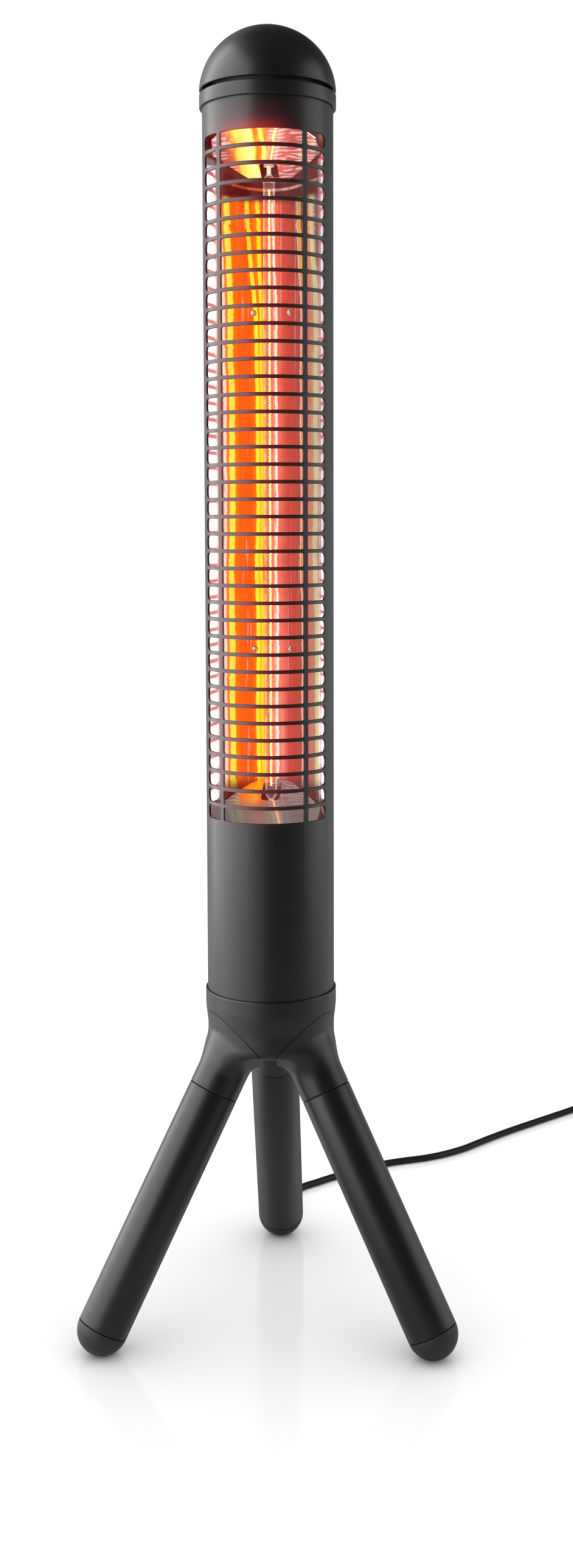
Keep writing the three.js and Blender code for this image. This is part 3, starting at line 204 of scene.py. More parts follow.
painted_softbox_glow = right.fade(-0.10, -0.45, 0.0, 2.0) * back.fade(0.40, 0.0)
set_shader(shader, Base_Color=painted_gloss_level * 0.9, Roughness=0.09,
           Specular_IOR_Level=far_off.fade(1.0, 3.0, 0.6, 0.0),
           Emission_Color=lift + glossy * painted_softbox_glow, Emission_Strength=1.0)
floor_mesh.materials.append(floor_white)


# Mains lead: round rubber-sheathed flex, 7.2 mm thick and about 2 m long. It leaves the back leg,
# lies loose on the floor out of the picture, and its unseen length is wound into a flat coil.
leg_tilt = math.radians(29)
foot_circle = 0.1717
leg_radius = 0.0232
foot_patch = 0.006
foot_centre_height = math.sqrt(leg_radius ** 2 - foot_patch ** 2)
apex_height = foot_centre_height + foot_circle / math.tan(leg_tilt)
leg_out, leg_up = math.sin(leg_tilt), -math.cos(leg_tilt)
stand_shift = Matrix.Translation((0, -foot_circle * 0.25, 0))

lead_radius = 0.0036
lead_diameter = 2 * lead_radius
slip_gap = 0.0003
gland_height = foot_centre_height + 0.0396
gland_droop = math.radians(19.9)
gland_root = Vector((0, (apex_height - gland_height) * math.tan(leg_tilt), gland_height))
gland_axis = Vector((0, math.cos(gland_droop), -math.sin(gland_droop)))
along_leg = gland_axis.y * leg_out + gland_axis.z * leg_up
gland_wall = leg_radius / math.sqrt(1 - along_leg ** 2)
gland_tip = gland_wall + 0.030

lead_drop = (
    (0.0003, 0.230, 0.0302), (0.0012, 0.2415, 0.0192), (0.0034, 0.253, 0.010), (0.007, 0.265, 0.005))
lead_lie = 0.00365
lead_on_floor = (
    (0.0132, 0.277), (0.0216, 0.2874), (0.034, 0.2976), (0.0475, 0.3095), (0.062, 0.3205), (0.080, 0.334),
    (0.098, 0.346), (0.117, 0.357), (0.138, 0.3655), (0.160, 0.3735), (0.183, 0.386), (0.205, 0.4025),
    (0.221, 0.4185), (0.237, 0.435), (0.256, 0.4535), (0.276, 0.472), (0.297, 0.4905), (0.3175, 0.5085),
    (0.333, 0.522), (0.350, 0.5372))
lead_lift = (0.366, 0.551, 0.0041)

coil_mean_radius, coil_pitch, coil_turns, coil_lift, coil_tail = 0.0396, 0.0078, 5.5, 0.0052, 0.042
coil_start = Vector((0.396, 0.577, coil_lift))
coil_heading = math.radians(40.9)
coil_outer = coil_mean_radius + coil_pitch * coil_turns / 4
coil_centre = coil_start + coil_outer * Vector((math.sin(coil_heading), -math.cos(coil_heading), 0))
coil_steps = 48
plug_radius, plug_length, plug_sleeve, plug_rim = 0.0185, 0.034, 0.024, 0.012


def smoothstep(value, low, high):
    share = np.clip((value - low) / (high - low), 0, 1)
    return share * share * (3 - 2 * share)


def coil_place(turns):
    """Spirals in on the floor, climbs a layer where it reverses, and spirals out on top."""
    half = coil_turns / 2
    radius = coil_outer - coil_pitch * (turns if turns < half else coil_turns - turns)
    angle = coil_heading + math.pi / 2 - turns * math.tau
    climb = smoothstep(turns, half - 0.25, half + 0.25)
    return coil_centre + Vector((radius * math.cos(angle), radius * math.sin(angle), coil_pitch * climb))


def curved_through(points, steps):
    """Points of a smooth curve through the given ones."""
    found = []
    for i in range(len(points) - 1):
        a, b, c, d = (points[min(max(k, 0), len(points) - 1)] for k in (i - 1, i, i + 1, i + 2))
        for step in range(steps):
            t = step / steps
            found.append(0.5 * (2 * b + (c - a) * t + (2 * a - 5 * b + 4 * c - d) * t * t
                                + (3 * b - a - 3 * c + d) * t ** 3))
    return found + [points[-1]]


heading = Vector((math.cos(coil_heading), math.sin(coil_heading), 0))
lead_exit = gland_root + gland_axis * (gland_tip + slip_gap)
loose = [lead_exit, lead_exit + gland_axis * lead_diameter]
loose += [Vector(place) for place in (*lead_drop, *((x, y, lead_lie) for x, y in lead_on_floor), lead_lift)]
loose += [coil_start - heading * lead_diameter * share for share in (3, 2, 1)]
wound = [coil_place(i / coil_steps) for i in range(round(coil_turns * coil_steps) + 1)]
tail_angle = coil_heading - coil_turns * math.tau
tail_away = Vector((math.cos(tail_angle), math.sin(tail_angle), 0))
plug_reach = lead_diameter + plug_sleeve + plug_length - plug_rim
plug_tilt = math.asin((plug_radius - coil_lift - coil_pitch) / plug_reach)
tail_bend = wound[-1] + tail_away * (coil_tail - lead_diameter)
tail_tip = wound[-1] + tail_away * coil_tail + Vector((0, 0, math.tan(plug_tilt) * lead_diameter))
lead_line = curved_through(loose, 6) + [*wound, tail_bend, tail_tip]
for point in lead_line:
    point.z = max(point.z, lead_radius)
lead_line = [stand_shift @ point for point in lead_line]

lead_curve = bpy.data.curves.new("supply_lead", "CURVE")
lead_curve.dimensions = "3D"
lead_curve.bevel_depth = lead_radius
lead_curve.bevel_resolution = 5
lead_curve.use_fill_caps = True
lead_spline = lead_curve.splines.new("POLY")
lead_spline.points.add(len(lead_line) - 1)
for spline_point, place in zip(lead_spline.points, lead_line):
    spline_point.co = (*place, 1)
supply_lead = bpy.data.objects.new("supply_lead", lead_curve)
collection.objects.link(supply_lead)


def new_group(name, kind, inputs, outputs):
    """A node group with inputs (name, kind, value) and outputs (name, kind), and its two ends."""
    group = bpy.data.node_groups.new(name, kind)
    for socket_name, socket_kind, *value in inputs:
        socket = group.interface.new_socket(
            name=socket_name, in_out="INPUT", socket_type=f"NodeSocket{socket_kind}")
        if value:
            socket.default_value = value[0]
    for socket_name, socket_kind in outputs:
        group.interface.new_socket(name=socket_name, in_out="OUTPUT", socket_type=f"NodeSocket{socket_kind}")
    return group, group.nodes.new("NodeGroupInput").outputs, group.nodes.new("NodeGroupOutput").inputs


def noise(vector, scale, detail=1.0, roughness=0.5):
    """Noise with one scale, or with one for each axis."""
    tree = vector.id_data
    if isinstance(scale, tuple):
        vector, scale = add_node(tree, "ShaderNodeMapping", Vector=vector, Scale=scale).outputs[0], 1.0
    return Signal(add_node(tree, "ShaderNodeTexNoise", Vector=vector, Scale=scale, Detail=detail,
                           Roughness=roughness).outputs[0])


# The grain of a moulded, cast or sprayed skin: fine grains over broad, faint clouds.
skin_grain, given, put_out = new_group(
    "skin_grain", "ShaderNodeTree",
    [("Deep Colour", "Color", (0, 0, 0, 1)), ("Light Colour", "Color", (0, 0, 0, 1)),
     ("Smoothest", "Float", 0.5), ("Roughest", "Float", 0.6),
     ("Grains Per Metre", "Float", 1500.0), ("Clouds Per Metre", "Float", 30.0)],
    [("Colour", "Color"), ("Roughness", "Float"), ("Height", "Float")])
on_piece = add_node(skin_grain, "ShaderNodeTexCoord").outputs["Object"]
grains = noise(on_piece, given["Grains Per Metre"], 2.0, 0.6)
clouds = noise(on_piece, given["Clouds Per Metre"], 3.0)
fill(put_out["Colour"], (grains * 0.6 + clouds * 0.4).mix(given["Deep Colour"], given["Light Colour"]))
fill(put_out["Roughness"], clouds.spread(0.3, 0.7, given["Smoothest"], given["Roughest"]))
fill(put_out["Height"], grains)


def grained_material(name, deep, light, smoothest, roughest, grains, clouds, bump, edge_haze=0.0, **values):
    """A material whose colour, gloss and bump come from the grain group, hazier where seen edge-on."""
    material, tree, shader = new_material(name)
    grain = add_node(tree, "ShaderNodeGroup", {"node_tree": skin_grain}, Deep_Colour=deep, Light_Colour=light,
                     Smoothest=smoothest, Roughest=roughest, Grains_Per_Metre=grains,
                     Clouds_Per_Metre=clouds).outputs
    relief = add_node(tree, "ShaderNodeBump", Strength=bump, Distance=0.0002, Height=grain["Height"])
    roughness = grain["Roughness"]
    if edge_haze:
        edge_on = Signal(add_node(tree, "ShaderNodeLayerWeight", Blend=0.5).outputs["Facing"])
        roughness = Signal(roughness) + edge_on.spread(0.55, 1.0, 0.0, edge_haze)
    set_shader(shader, Base_Color=grain["Colour"], Roughness=roughness, Normal=relief.outputs[0], **values)
    return material


lead_rubber = grained_material(
    "lead_rubber", (0.002, 0.002, 0.0022), (0.004, 0.004, 0.0043), 0.40, 0.50, 900, 60, 0.15,
    Specular_IOR_Level=0.18)
lead_curve.materials.append(lead_rubber)


def dress(material, *names):
    """Gives CAD nodes that stay in view a finish of their own."""
    for name in names:
        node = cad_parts[name]
        node.data.materials.clear()
        node.data.materials.append(material)


class opened:
    """A mesh opened for editing, which is put back with its faces turned outwards."""

    def __init__(self, piece):
        self.mesh = piece.data

    def __enter__(self):
        self.form = bmesh.new()
        self.form.from_mesh(self.mesh)
        return self.form

    def __exit__(self, *_):
        bmesh.ops.recalc_face_normals(self.form, faces=self.form.faces)
        self.form.to_mesh(self.mesh)
        self.form.free()


def finish_mesh(piece, place_at=None, sharp=35):
    """Merges doubles, shades the piece smooth but for its sharp edges, and moves it to its place."""
    with opened(piece) as form:
        bmesh.ops.remove_doubles(form, verts=form.verts, dist=1e-6)
        bmesh.ops.dissolve_degenerate(form, edges=form.edges, dist=1e-7)
    if place_at:
        piece.data.transform(place_at)
    piece.data.shade_smooth()
    piece.data.set_sharp_from_angle(angle=math.radians(sharp))
    piece.data.update()


def mesh_piece(name, places, faces, material, place_at=None, sharp=35):
    """A plain mesh object at the origin, with its place in its mesh."""
    mesh = bpy.data.meshes.new(name)
    mesh.from_pydata([tuple(place) for place in places], [], [tuple(face) for face in faces])
    piece = bpy.data.objects.new(name, mesh)
    collection.objects.link(piece)
    finish_mesh(piece, place_at, sharp)
    mesh.materials.append(material)
    return piece


def eased(corners, steps=4, closed=True):
    """Corners (x, y, ease): the same line with every corner rounded by its ease."""
    found = []
    count = len(corners)
    for i, (x, y, ease) in enumerate(corners):
        here = Vector((x, y))
        inside = closed or 0 < i < count - 1
        if not ease or not inside:
            found.append((x, y))
            continue
        before = Vector(corners[i - 1][:2]) - here
        after = Vector(corners[(i + 1) % count][:2]) - here
        reach = min(before.length, after.length) * 0.49
        turn = before.angle(after)
        cut_back = min(ease / math.tan(turn / 2), reach)
        start, end = here + before.normalized() * cut_back, here + after.normalized() * cut_back
        for step in range(steps + 1):
            t = step / steps
            found.append(tuple((1 - t) ** 2 * start + 2 * t * (1 - t) * here + t * t * end))
    return found


def ring(radius, height, turns):
    return [(radius * math.cos(turn), radius * math.sin(turn), height) for turn in turns]


def turned(name, corners, material, place_at=None, around=96, steps=4, closed=False):
    """A lathe form round Z from corners (radius, height, ease). Its ends lie on the axis, unless closed."""
    turns = [math.tau * k / around for k in range(around)]
    places, rings = [], []
    for radius, height in eased(corners, steps, closed):
        on_axis = radius < 1e-6
        first = len(places)
        rings.append([first] * around if on_axis else list(range(first, first + around)))
        places += [(0, 0, height)] if on_axis else ring(radius, height, turns)
    faces = []
    for low, high in zip(rings, rings[1:] + rings[:1] if closed else rings[1:]):
        for k in range(around):
            corners = [low[k], low[(k + 1) % around], high[(k + 1) % around], high[k]]
            face = [corner for i, corner in enumerate(corners) if corner not in corners[:i]]
            if len(face) > 2:
                faces.append(face)
    return mesh_piece(name, places, faces, material, place_at)


def ribs(first, pitch, radius, growth, section):
    """Five ribs along a sleeve, each with a section of (inset, length, ease)."""
    return [(radius + growth * i - inset, first + pitch * i + length, ease)
            for i in range(5) for inset, length, ease in section]


# Coil tie and moulded plug: a flat rubber band round all the turns, and a round two-pin plug
# whose ribbed sleeve keeps the lead from kinking. Its rim rests on the floor.
dress(lead_rubber, "coil_tie")

plug_rubber = grained_material(
    "plug_rubber", (0.010, 0.010, 0.011), (0.020, 0.020, 0.022), 0.42, 0.58, 1400, 40, 0.3,
    Specular_IOR_Level=0.4)
plug_heading = tail_away * math.cos(plug_tilt) + Vector((0, 0, math.sin(plug_tilt)))
plug_turn = Vector((0, 0, 1)).rotation_difference(plug_heading).to_matrix().to_4x4()
plug_place = stand_shift @ Matrix.Translation(tail_tip + plug_heading * slip_gap) @ plug_turn
sleeve_ribs = ribs(0.003, 0.0036, 0.0044, 0.00032,
                   ((0, 0, 0), (0, 0.0022, 0.0003), (0.0009, 0.0025, 0), (0.0009, 0.0034, 0)))
plug_end = plug_sleeve + plug_length
plug_shoulder = plug_end - plug_rim
plug_line = [(0, 0, 0), (0.0040, 0, 0.0004), *sleeve_ribs, (0.0060, 0.0216, 0), (0.0108, 0.0243, 0.002),
             (0.0138, 0.034, 0.003), (0.0145, plug_shoulder - 0.002, 0.0008),
             (plug_radius, plug_shoulder, 0.001), (plug_radius, plug_end, 0.0012), (0, plug_end, 0)]
moulded_plug = turned("moulded_plug", plug_line, plug_rubber, plug_place, around=64, steps=3)
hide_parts("plug_body")
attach(moulded_plug, "heater")

pin_nickel = grained_material(
    "pin_nickel", (0.55, 0.53, 0.50), (0.68, 0.66, 0.62), 0.22, 0.34, 2500, 120, 0.05, Metallic=1.0)
pin_radius, pin_offset = 0.0024, 0.0095
pin_low, pin_tip = plug_shoulder + slip_gap, plug_end + 0.019
pin_line = [(0, pin_low, 0), (pin_radius, pin_low, 0), (pin_radius, pin_tip, 0.0012), (0, pin_tip, 0)]
for side, way in (("left", -1), ("right", 1)):
    pin = turned(f"round_pin_{side}", pin_line, pin_nickel,
                 plug_place @ Matrix.Translation((way * pin_offset, 0, 0)), around=32)
    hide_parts(f"plug_pin_{side}")
    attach(pin, "heater")


# Gland: a ribbed rubber sleeve on a flange, set in the back of the back leg close above its foot.
# The lead comes out of it sloping down to the floor.
gland_radius, flange_radius, gland_mouth = 0.0070, 0.0090, 0.0046
gland_start, flange_start = gland_wall - 0.009, gland_wall - 0.008
gland_ribs = ribs(gland_wall + 0.0065, 0.0045, gland_radius, -0.0005,
                  ((0, 0, 0.0004), (0.0002, 0.0030, 0.0004), (0.0013, 0.0033, 0), (0.0014, 0.0043, 0)))
gland_line = [(lead_radius, gland_start, 0), (gland_radius, gland_start, 0), (gland_radius, flange_start, 0),
              (flange_radius, flange_start, 0), (flange_radius, gland_wall + 0.005, 0.0012),
              (gland_radius, gland_wall + 0.0055, 0), *gland_ribs, (gland_mouth, gland_tip - 0.0012, 0),
              (gland_mouth, gland_tip, 0.0005), (lead_radius, gland_tip, 0)]
gland_place = stand_shift @ Matrix.Translation(gland_root) @ Matrix.Rotation(
    -math.pi / 2 - gland_droop, 4, "X")
gland_sleeve = turned(
    "gland_sleeve", gland_line, plug_rubber, gland_place, around=48, steps=3, closed=True)
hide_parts("lead_gland")
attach(gland_sleeve, "heater")
dress(lead_rubber, "inner_lead")

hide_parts("mains_lead", "lead_coil")
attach(supply_lead, "heater")
lead_length = sum((b - a).length for a, b in zip(lead_line, lead_line[1:]))


# Feet: rubber half balls, ground flat where they stand. A plug on each fills the end of its leg.
foot_along = foot_circle / math.sin(leg_tilt)
seam_width = 0.0007
leg_wall = 0.002
spigot_radius = 0.0209
leg_turns = {"left": math.radians(-150), "right": math.radians(-30), "back": math.radians(90)}
foot_rubber = grained_material(
    "foot_rubber", (0.011, 0.011, 0.0115), (0.018, 0.018, 0.019), 0.52, 0.62, 1800, 50, 0.35,
    Specular_IOR_Level=0.25)
lean = Matrix.Translation((0, 0, apex_height)) @ Matrix.Rotation(-leg_tilt, 4, "Y")


def stand_place(turn):
    return stand_shift @ Matrix.Rotation(turn, 4, "Z")


def cut_flat(form, at, outwards):
    """Cuts a closed form by a plane and closes it there."""
    bmesh.ops.bisect_plane(form, geom=form.verts[:] + form.edges[:] + form.faces[:], dist=1e-7,
                           plane_co=at, plane_no=outwards, clear_outer=True)
    bmesh.ops.holes_fill(form, edges=[edge for edge in form.edges if edge.is_boundary])


ball = [(leg_radius * math.cos(angle), leg_radius * math.sin(angle), 0)
        for angle in np.linspace(-math.pi / 2, -0.02, 32)]
ball[0] = (0, -leg_radius, 0)
foot_spigot = 0.008
foot_line = [*ball, (leg_radius, -0.0001, 0), (leg_radius - 0.0006, 0, 0), (spigot_radius, 0, 0),
             (spigot_radius, foot_spigot, 0.001), (0, foot_spigot, 0)]
for side, turn in leg_turns.items():
    foot = turned(f"{side}_rubber_foot", foot_line, foot_rubber,
                  stand_place(turn) @ lean @ Matrix.Translation((0, 0, -foot_along)), around=96, steps=3)
    with opened(foot) as form:
        cut_flat(form, (0, 0, 0), (0, 0, -1))
    foot.data.set_sharp_from_angle(angle=math.radians(25))
    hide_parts(f"{side}_foot")
    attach(foot, "heater")


# Legs: straight steel tubes with a fine matt powder coat. Foot and socket plug into their ends,
# and a narrow dark seam shows at both. The back one has the hole for the gland.
coat = ((0.0040, 0.0039, 0.0041), (0.0072, 0.0070, 0.0074), 0.31, 0.37, 1500, 22, 0.3, 0.35)
powder_coat = grained_material("powder_coat", *coat, Specular_IOR_Level=0.22)
socket_end = 0.123
edge_ease = 0.0006
gland_hole = 0.0075
leg_low, leg_high = seam_width - foot_along, -socket_end - seam_width
leg_line = [(leg_radius, leg_low, edge_ease), (leg_radius, leg_high, edge_ease),
            (leg_radius - leg_wall, leg_high, 0), (leg_radius - leg_wall, leg_low, 0)]


def settle(piece):
    """Makes the result of a piece's modifiers its own plain mesh."""
    bpy.context.view_layer.update()
    shaped = bpy.data.meshes.new_from_object(piece.evaluated_get(bpy.context.evaluated_depsgraph_get()))
    piece.modifiers.clear()
    piece.data = shaped


def bored(piece, radius, low, high, place_at, around=48):
    """Cuts a round hole through a piece."""
    outline = [(0, low, 0), (radius, low, 0), (radius, high, 0), (0, high, 0)]
    drill = turned("drill", outline, powder_coat, place_at, around)
    cutter = piece.modifiers.new("bore", "BOOLEAN")
    cutter.operation, cutter.solver, cutter.object = "DIFFERENCE", "EXACT", drill
    settle(piece)
    bpy.data.objects.remove(drill)


for side, turn in leg_turns.items():
    leg = turned(f"{side}_steel_leg", leg_line, powder_coat, stand_place(turn) @ lean,
                 around=128, steps=3, closed=True)
    if side == "back":
        bored(leg, gland_hole, 0.01, gland_tip, gland_place)
        leg.data.set_sharp_from_angle(angle=math.radians(35))
    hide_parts(f"{side}_leg_tube")
    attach(leg, "heater")


# Leg sockets: three cast forms that sweep from the slanted seam under the hub down into the legs.
# Their skins are one smooth blend of hub and legs, cut where the castings meet.
tube_radius, tube_inner = 0.059, 0.057
hub_rim_radius, hub_waist_radius = 0.0608, 0.0589
seam_tilt = math.radians(53.1)
seam_slope = math.tan(seam_tilt)
seam_at_axis = apex_height - 0.1149
seam_top = seam_at_axis + seam_slope * hub_rim_radius
hub_top = seam_top + 0.0177
hub_bulge, hub_waist = hub_top - 0.013, hub_top - 0.035
hub_underside = seam_at_axis + 0.0440
hub_round, hub_blend, hub_blend_between = 0.007, 0.020, 0.022
blend_top, blend_depth = hub_waist + 0.007, 0.038
casting_round, casting_corner = 0.0003, 42


def ring_field(x, y, z):
    """Negative inside the hub alone, whose lower edge is rounded."""
    radius = hub_waist_radius + (hub_rim_radius - hub_waist_radius) * smoothstep(z, hub_waist, hub_bulge)
    out = np.hypot(x, y) - radius + hub_round
    under = hub_underside - z + hub_round
    return (np.hypot(np.maximum(out, 0), np.maximum(under, 0))
            + np.minimum(np.maximum(out, under), 0) - hub_round)


def leg_field(x, y, z, turn):
    """Negative inside one endless leg."""
    outward = x * math.cos(turn) + y * math.sin(turn)
    across = y * math.cos(turn) - x * math.sin(turn)
    along = outward * leg_out + (z - apex_height) * leg_up
    off_x = outward - along * leg_out
    off_z = z - apex_height - along * leg_up
    return np.sqrt(off_x ** 2 + across ** 2 + off_z ** 2) - leg_radius


def hub_field(place, turned_by=0.0):
    """Negative inside the blended shape of the hub and the legs, which turned_by turns as one."""
    x, y, z = place
    field = ring_field(x, y, z)
    out = np.hypot(x, y) + 1e-7
    blend_share = 0.2 + 0.8 * smoothstep(z, blend_top, blend_top - blend_depth)
    for turn in leg_turns.values():
        turn -= turned_by
        towards_leg = np.maximum((x * math.cos(turn) + y * math.sin(turn)) / out, 0)
        size = blend_share * (hub_blend + hub_blend_between * (1 - towards_leg ** 2))
        other = leg_field(x, y, z, turn)
        near = np.maximum(size - np.abs(field - other), 0) / size
        field = np.minimum(field, other) - near * near * size / 4
    return field


search_steps, search_halvings = 80, 24


def skin_row(field, start, direction, limit, inset=0.0):
    """Places along directions from a start, where a field turns positive, less an inset."""
    start = np.array(start)[:, None]
    low, high = np.zeros(direction.shape[1]), np.full(direction.shape[1], limit)
    found = np.zeros(direction.shape[1], bool)
    for i in range(1, search_steps + 1):
        here = limit * i / search_steps
        past = (field(start + direction * here) > 0) & ~found
        high[past] = here
        found |= past
        low[~found] = here
    for _ in range(search_halvings):
        middle = (low + high) / 2
        past = field(start + direction * middle) > 0
        high[past], low[~past] = middle[past], middle[~past]
    return (start + direction * (low - inset)).T


def casting(name, rows, rings, place_at, around, ends):
    """A closed skin through rows of places and then rings (radius, height), from one end to the other."""
    turns = np.linspace(0, math.tau, around, endpoint=False)
    places = [place for row in rows for place in row]
    for radius, height in rings:
        places += [place_at @ Vector(place) for place in ring(radius, height, turns)]
    count = len(rows) + len(rings)
    first, last = count * around, count * around + 1
    faces = []
    for k in range(around):
        after = (k + 1) % around
        faces += [(first, after, k), (last, (count - 1) * around + k, (count - 1) * around + after)]
        faces += [(row * around + k, row * around + after, (row + 1) * around + after, (row + 1) * around + k)
                  for row in range(count - 1)]
    return mesh_piece(name, [*places, *ends], faces, powder_coat)


def soften_edges(piece):
    """A narrow round on every sharp edge."""
    softened = piece.modifiers.new("edge_round", "BEVEL")
    softened.width, softened.segments, softened.limit_method = casting_round, 2, "ANGLE"
    softened.angle_limit, softened.use_clamp_overlap = math.radians(casting_corner), True
    settle(piece)
    piece.data.shade_smooth()
    piece.data.set_sharp_from_angle(angle=math.radians(40))


half_sector = math.pi / 3
sector_overlap = 0.004
seam_along = (apex_height - seam_at_axis) / (seam_slope * leg_out - leg_up)
socket_rows, socket_around, socket_reach, crowding = 44, 168, 0.16, 1.25
spigot_end, wire_way, wire_way_top = socket_end + 0.025, 0.0068, 0.095
socket_turns = np.linspace(0, math.tau, socket_around, endpoint=False)


def down_leg(along):
    return (along * leg_out, 0, apex_height + along * leg_up)


def socket_field(place):
    past_sector = np.abs(place[1]) * math.cos(half_sector) - place[0] * math.sin(half_sector)
    return np.maximum(hub_field(place, leg_turns["left"]), past_sector - sector_overlap)


skin_rows = []
for row_share in np.linspace(0, 1, socket_rows) ** crowding:
    start = down_leg(seam_along + (socket_end - seam_along) * row_share)
    angle = seam_tilt + (leg_tilt - seam_tilt) * smoothstep(row_share, 0, 1)
    up = np.cos(socket_turns)
    direction = np.array([up * math.cos(angle), np.sin(socket_turns), up * math.sin(angle)])
    skin_rows.append(skin_row(socket_field, start, direction, socket_reach))
spigot = [(spigot_radius, -socket_end), (spigot_radius, -spigot_end),
          (wire_way, -spigot_end), (wire_way, -wire_way_top)]
socket = casting("socket_casting", skin_rows, spigot, lean, socket_around,
                 [down_leg(seam_along), lean @ Vector((0, 0, -wire_way_top))])
with opened(socket) as form:
    for way in (-1, 1):
        outwards = Vector((-math.sin(half_sector), way * math.cos(half_sector), 0))
        cut_flat(form, -outwards * slip_gap / 2, outwards)
soften_edges(socket)
for side, turn in leg_turns.items():
    cast = bpy.data.objects.new(f"{side}_cast_socket", socket.data.copy())
    cast.data.transform(stand_place(turn))
    collection.objects.link(cast)
    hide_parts(f"{side}_leg_socket")
    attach(cast, "heater")
bpy.data.objects.remove(socket)


# Hub: a cast ring that holds the end of the body tube in a groove. It swells a little to its rim,
# and slants up from below along the three seams. Six bolts in its well pull the sockets to it.
hub_around, hub_reach, wall_rows, round_rows = 240, 0.13, 40, 4
hub_turns = np.linspace(0, math.tau, hub_around, endpoint=False)
hub_low, hub_floor = hub_underside + slip_gap, seam_top - 0.0078
rim_round, groove_play, groove_wall = 0.0006, 0.0006, 0.0038
hub_levels = [(height, 0) for height in np.linspace(hub_low, hub_top - rim_round, wall_rows)]
hub_levels += [(hub_top - rim_round * (1 - math.sin(angle)), rim_round * (1 - math.cos(angle)))
               for angle in np.linspace(0.4, math.pi / 2, round_rows)]
direction = np.array([np.cos(hub_turns), np.sin(hub_turns), np.zeros(hub_around)])
hub_rows = [skin_row(hub_field, (0, 0, height), direction, hub_reach, inset)
            for height, inset in hub_levels]
groove_low = seam_top - slip_gap
groove_outer, groove_inner = tube_radius + groove_play, tube_inner - slip_gap
well_radius = tube_inner - groove_wall
well = [(groove_outer, hub_top), (groove_outer, groove_low), (groove_inner, groove_low),
        (groove_inner, hub_top), (well_radius, hub_top), (well_radius, hub_floor)]
hub = casting("hub_casting", hub_rows, well, Matrix(), hub_around, [(0, 0, hub_low), (0, 0, hub_floor)])
with opened(hub) as form:
    for turn in leg_turns.values():
        under = Matrix.Rotation(turn, 3, "Z") @ Vector((math.sin(seam_tilt), 0, -math.cos(seam_tilt)))
        cut_flat(form, (0, 0, seam_at_axis + seam_width), under)
soften_edges(hub)
hub.data.transform(stand_shift)
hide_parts("hub_ring")
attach(hub, "heater")

zinc_steel = grained_material(
    "zinc_steel", (0.33, 0.33, 0.34), (0.48, 0.48, 0.49), 0.30, 0.46, 1200, 90, 0.1, Metallic=1.0)
dress(zinc_steel, *(f"{side}_hub_bolt_{count}" for side in leg_turns for count in (1, 2)))


# Tip-over switch and terminal block in the foot of the tube: a brass bob that swings on a steel pin
# in an open moulded case, and a moulded block where the mains lead ends.
pale_moulding = grained_material(
    "pale_moulding", (0.52, 0.50, 0.46), (0.60, 0.58, 0.54), 0.38, 0.5, 700, 60, 0.15)
bob_brass = grained_material(
    "bob_brass", (0.60, 0.40, 0.15), (0.72, 0.52, 0.24), 0.26, 0.4, 900, 120, 0.1, Metallic=1.0)
dress(pale_moulding, "tip_switch_case", "terminal_block")
dress(zinc_steel, "tip_switch_pin")
dress(bob_brass, "tip_switch_bob")


# Body tube: rolled steel, pierced at the front with forty rows of a wide slot between two narrow
# ones whose outer ends are round. One row is cut in a flat strip, bent, and repeated up the tube.
tower_turn = math.radians(3.9)
tower_place = stand_shift @ Matrix.Rotation(-tower_turn, 4, "Z")
total_height = 1.190
cap_base = total_height - 0.0606
collar_low, collar_high = cap_base - 0.0122, cap_base
tube_top = collar_high - 0.0020
slot_rows = 40
lowest_slot = hub_top + (collar_low - hub_top) * 0.2109
highest_slot = hub_top + (collar_low - hub_top) * 0.9566
slot_pitch = (highest_slot - lowest_slot) / (slot_rows - 1)
slot_height = slot_pitch * 0.7834
middle_half, rib_arc, side_arc = 0.0793 / 2, 0.0045, 0.0235
slot_edge = 0.0003
inner_round, outer_round = 0.0013, 0.0044
tube_columns, corner_steps, arc_step = 120, 5, 0.003
girth = math.tau * tube_radius


def slot_loop(low_arc, high_arc, rounds, grow):
    """A slot's outline in the flat strip, grown all round. rounds are its ends' corner rounds."""
    half = slot_height / 2 + grow
    low_arc, high_arc = low_arc - grow, high_arc + grow
    low_round, high_round = rounds[0] + grow, rounds[1] + grow
    loop = []
    for x, y, radius, start in ((low_arc, -half, low_round, 180), (high_arc, -half, high_round, 270),
                                (high_arc, half, high_round, 0), (low_arc, half, low_round, 90)):
        centre_x = x + radius if x == low_arc else x - radius
        centre_y = y + radius if y < 0 else y - radius
        for k in range(corner_steps + 1):
            angle = math.radians(start + 90 * k / corner_steps)
            loop.append((centre_x + radius * math.cos(angle), centre_y + radius * math.sin(angle)))
    line = []
    for i, (x, y) in enumerate(loop):
        after = loop[(i + 1) % len(loop)]
        steps = max(1, round(abs(after[0] - x) / arc_step))
        line += [(x + (after[0] - x) * k / steps, y + (after[1] - y) * k / steps) for k in range(steps)]
    return line


def inside_loop(x, y, loop):
    odd = False
    for (ax, ay), (bx, by) in zip(loop, loop[1:] + loop[:1]):
        if (ay > y) != (by > y) and x < (bx - ax) * (y - ay) / (by - ay) + ax:
            odd = not odd
    return odd


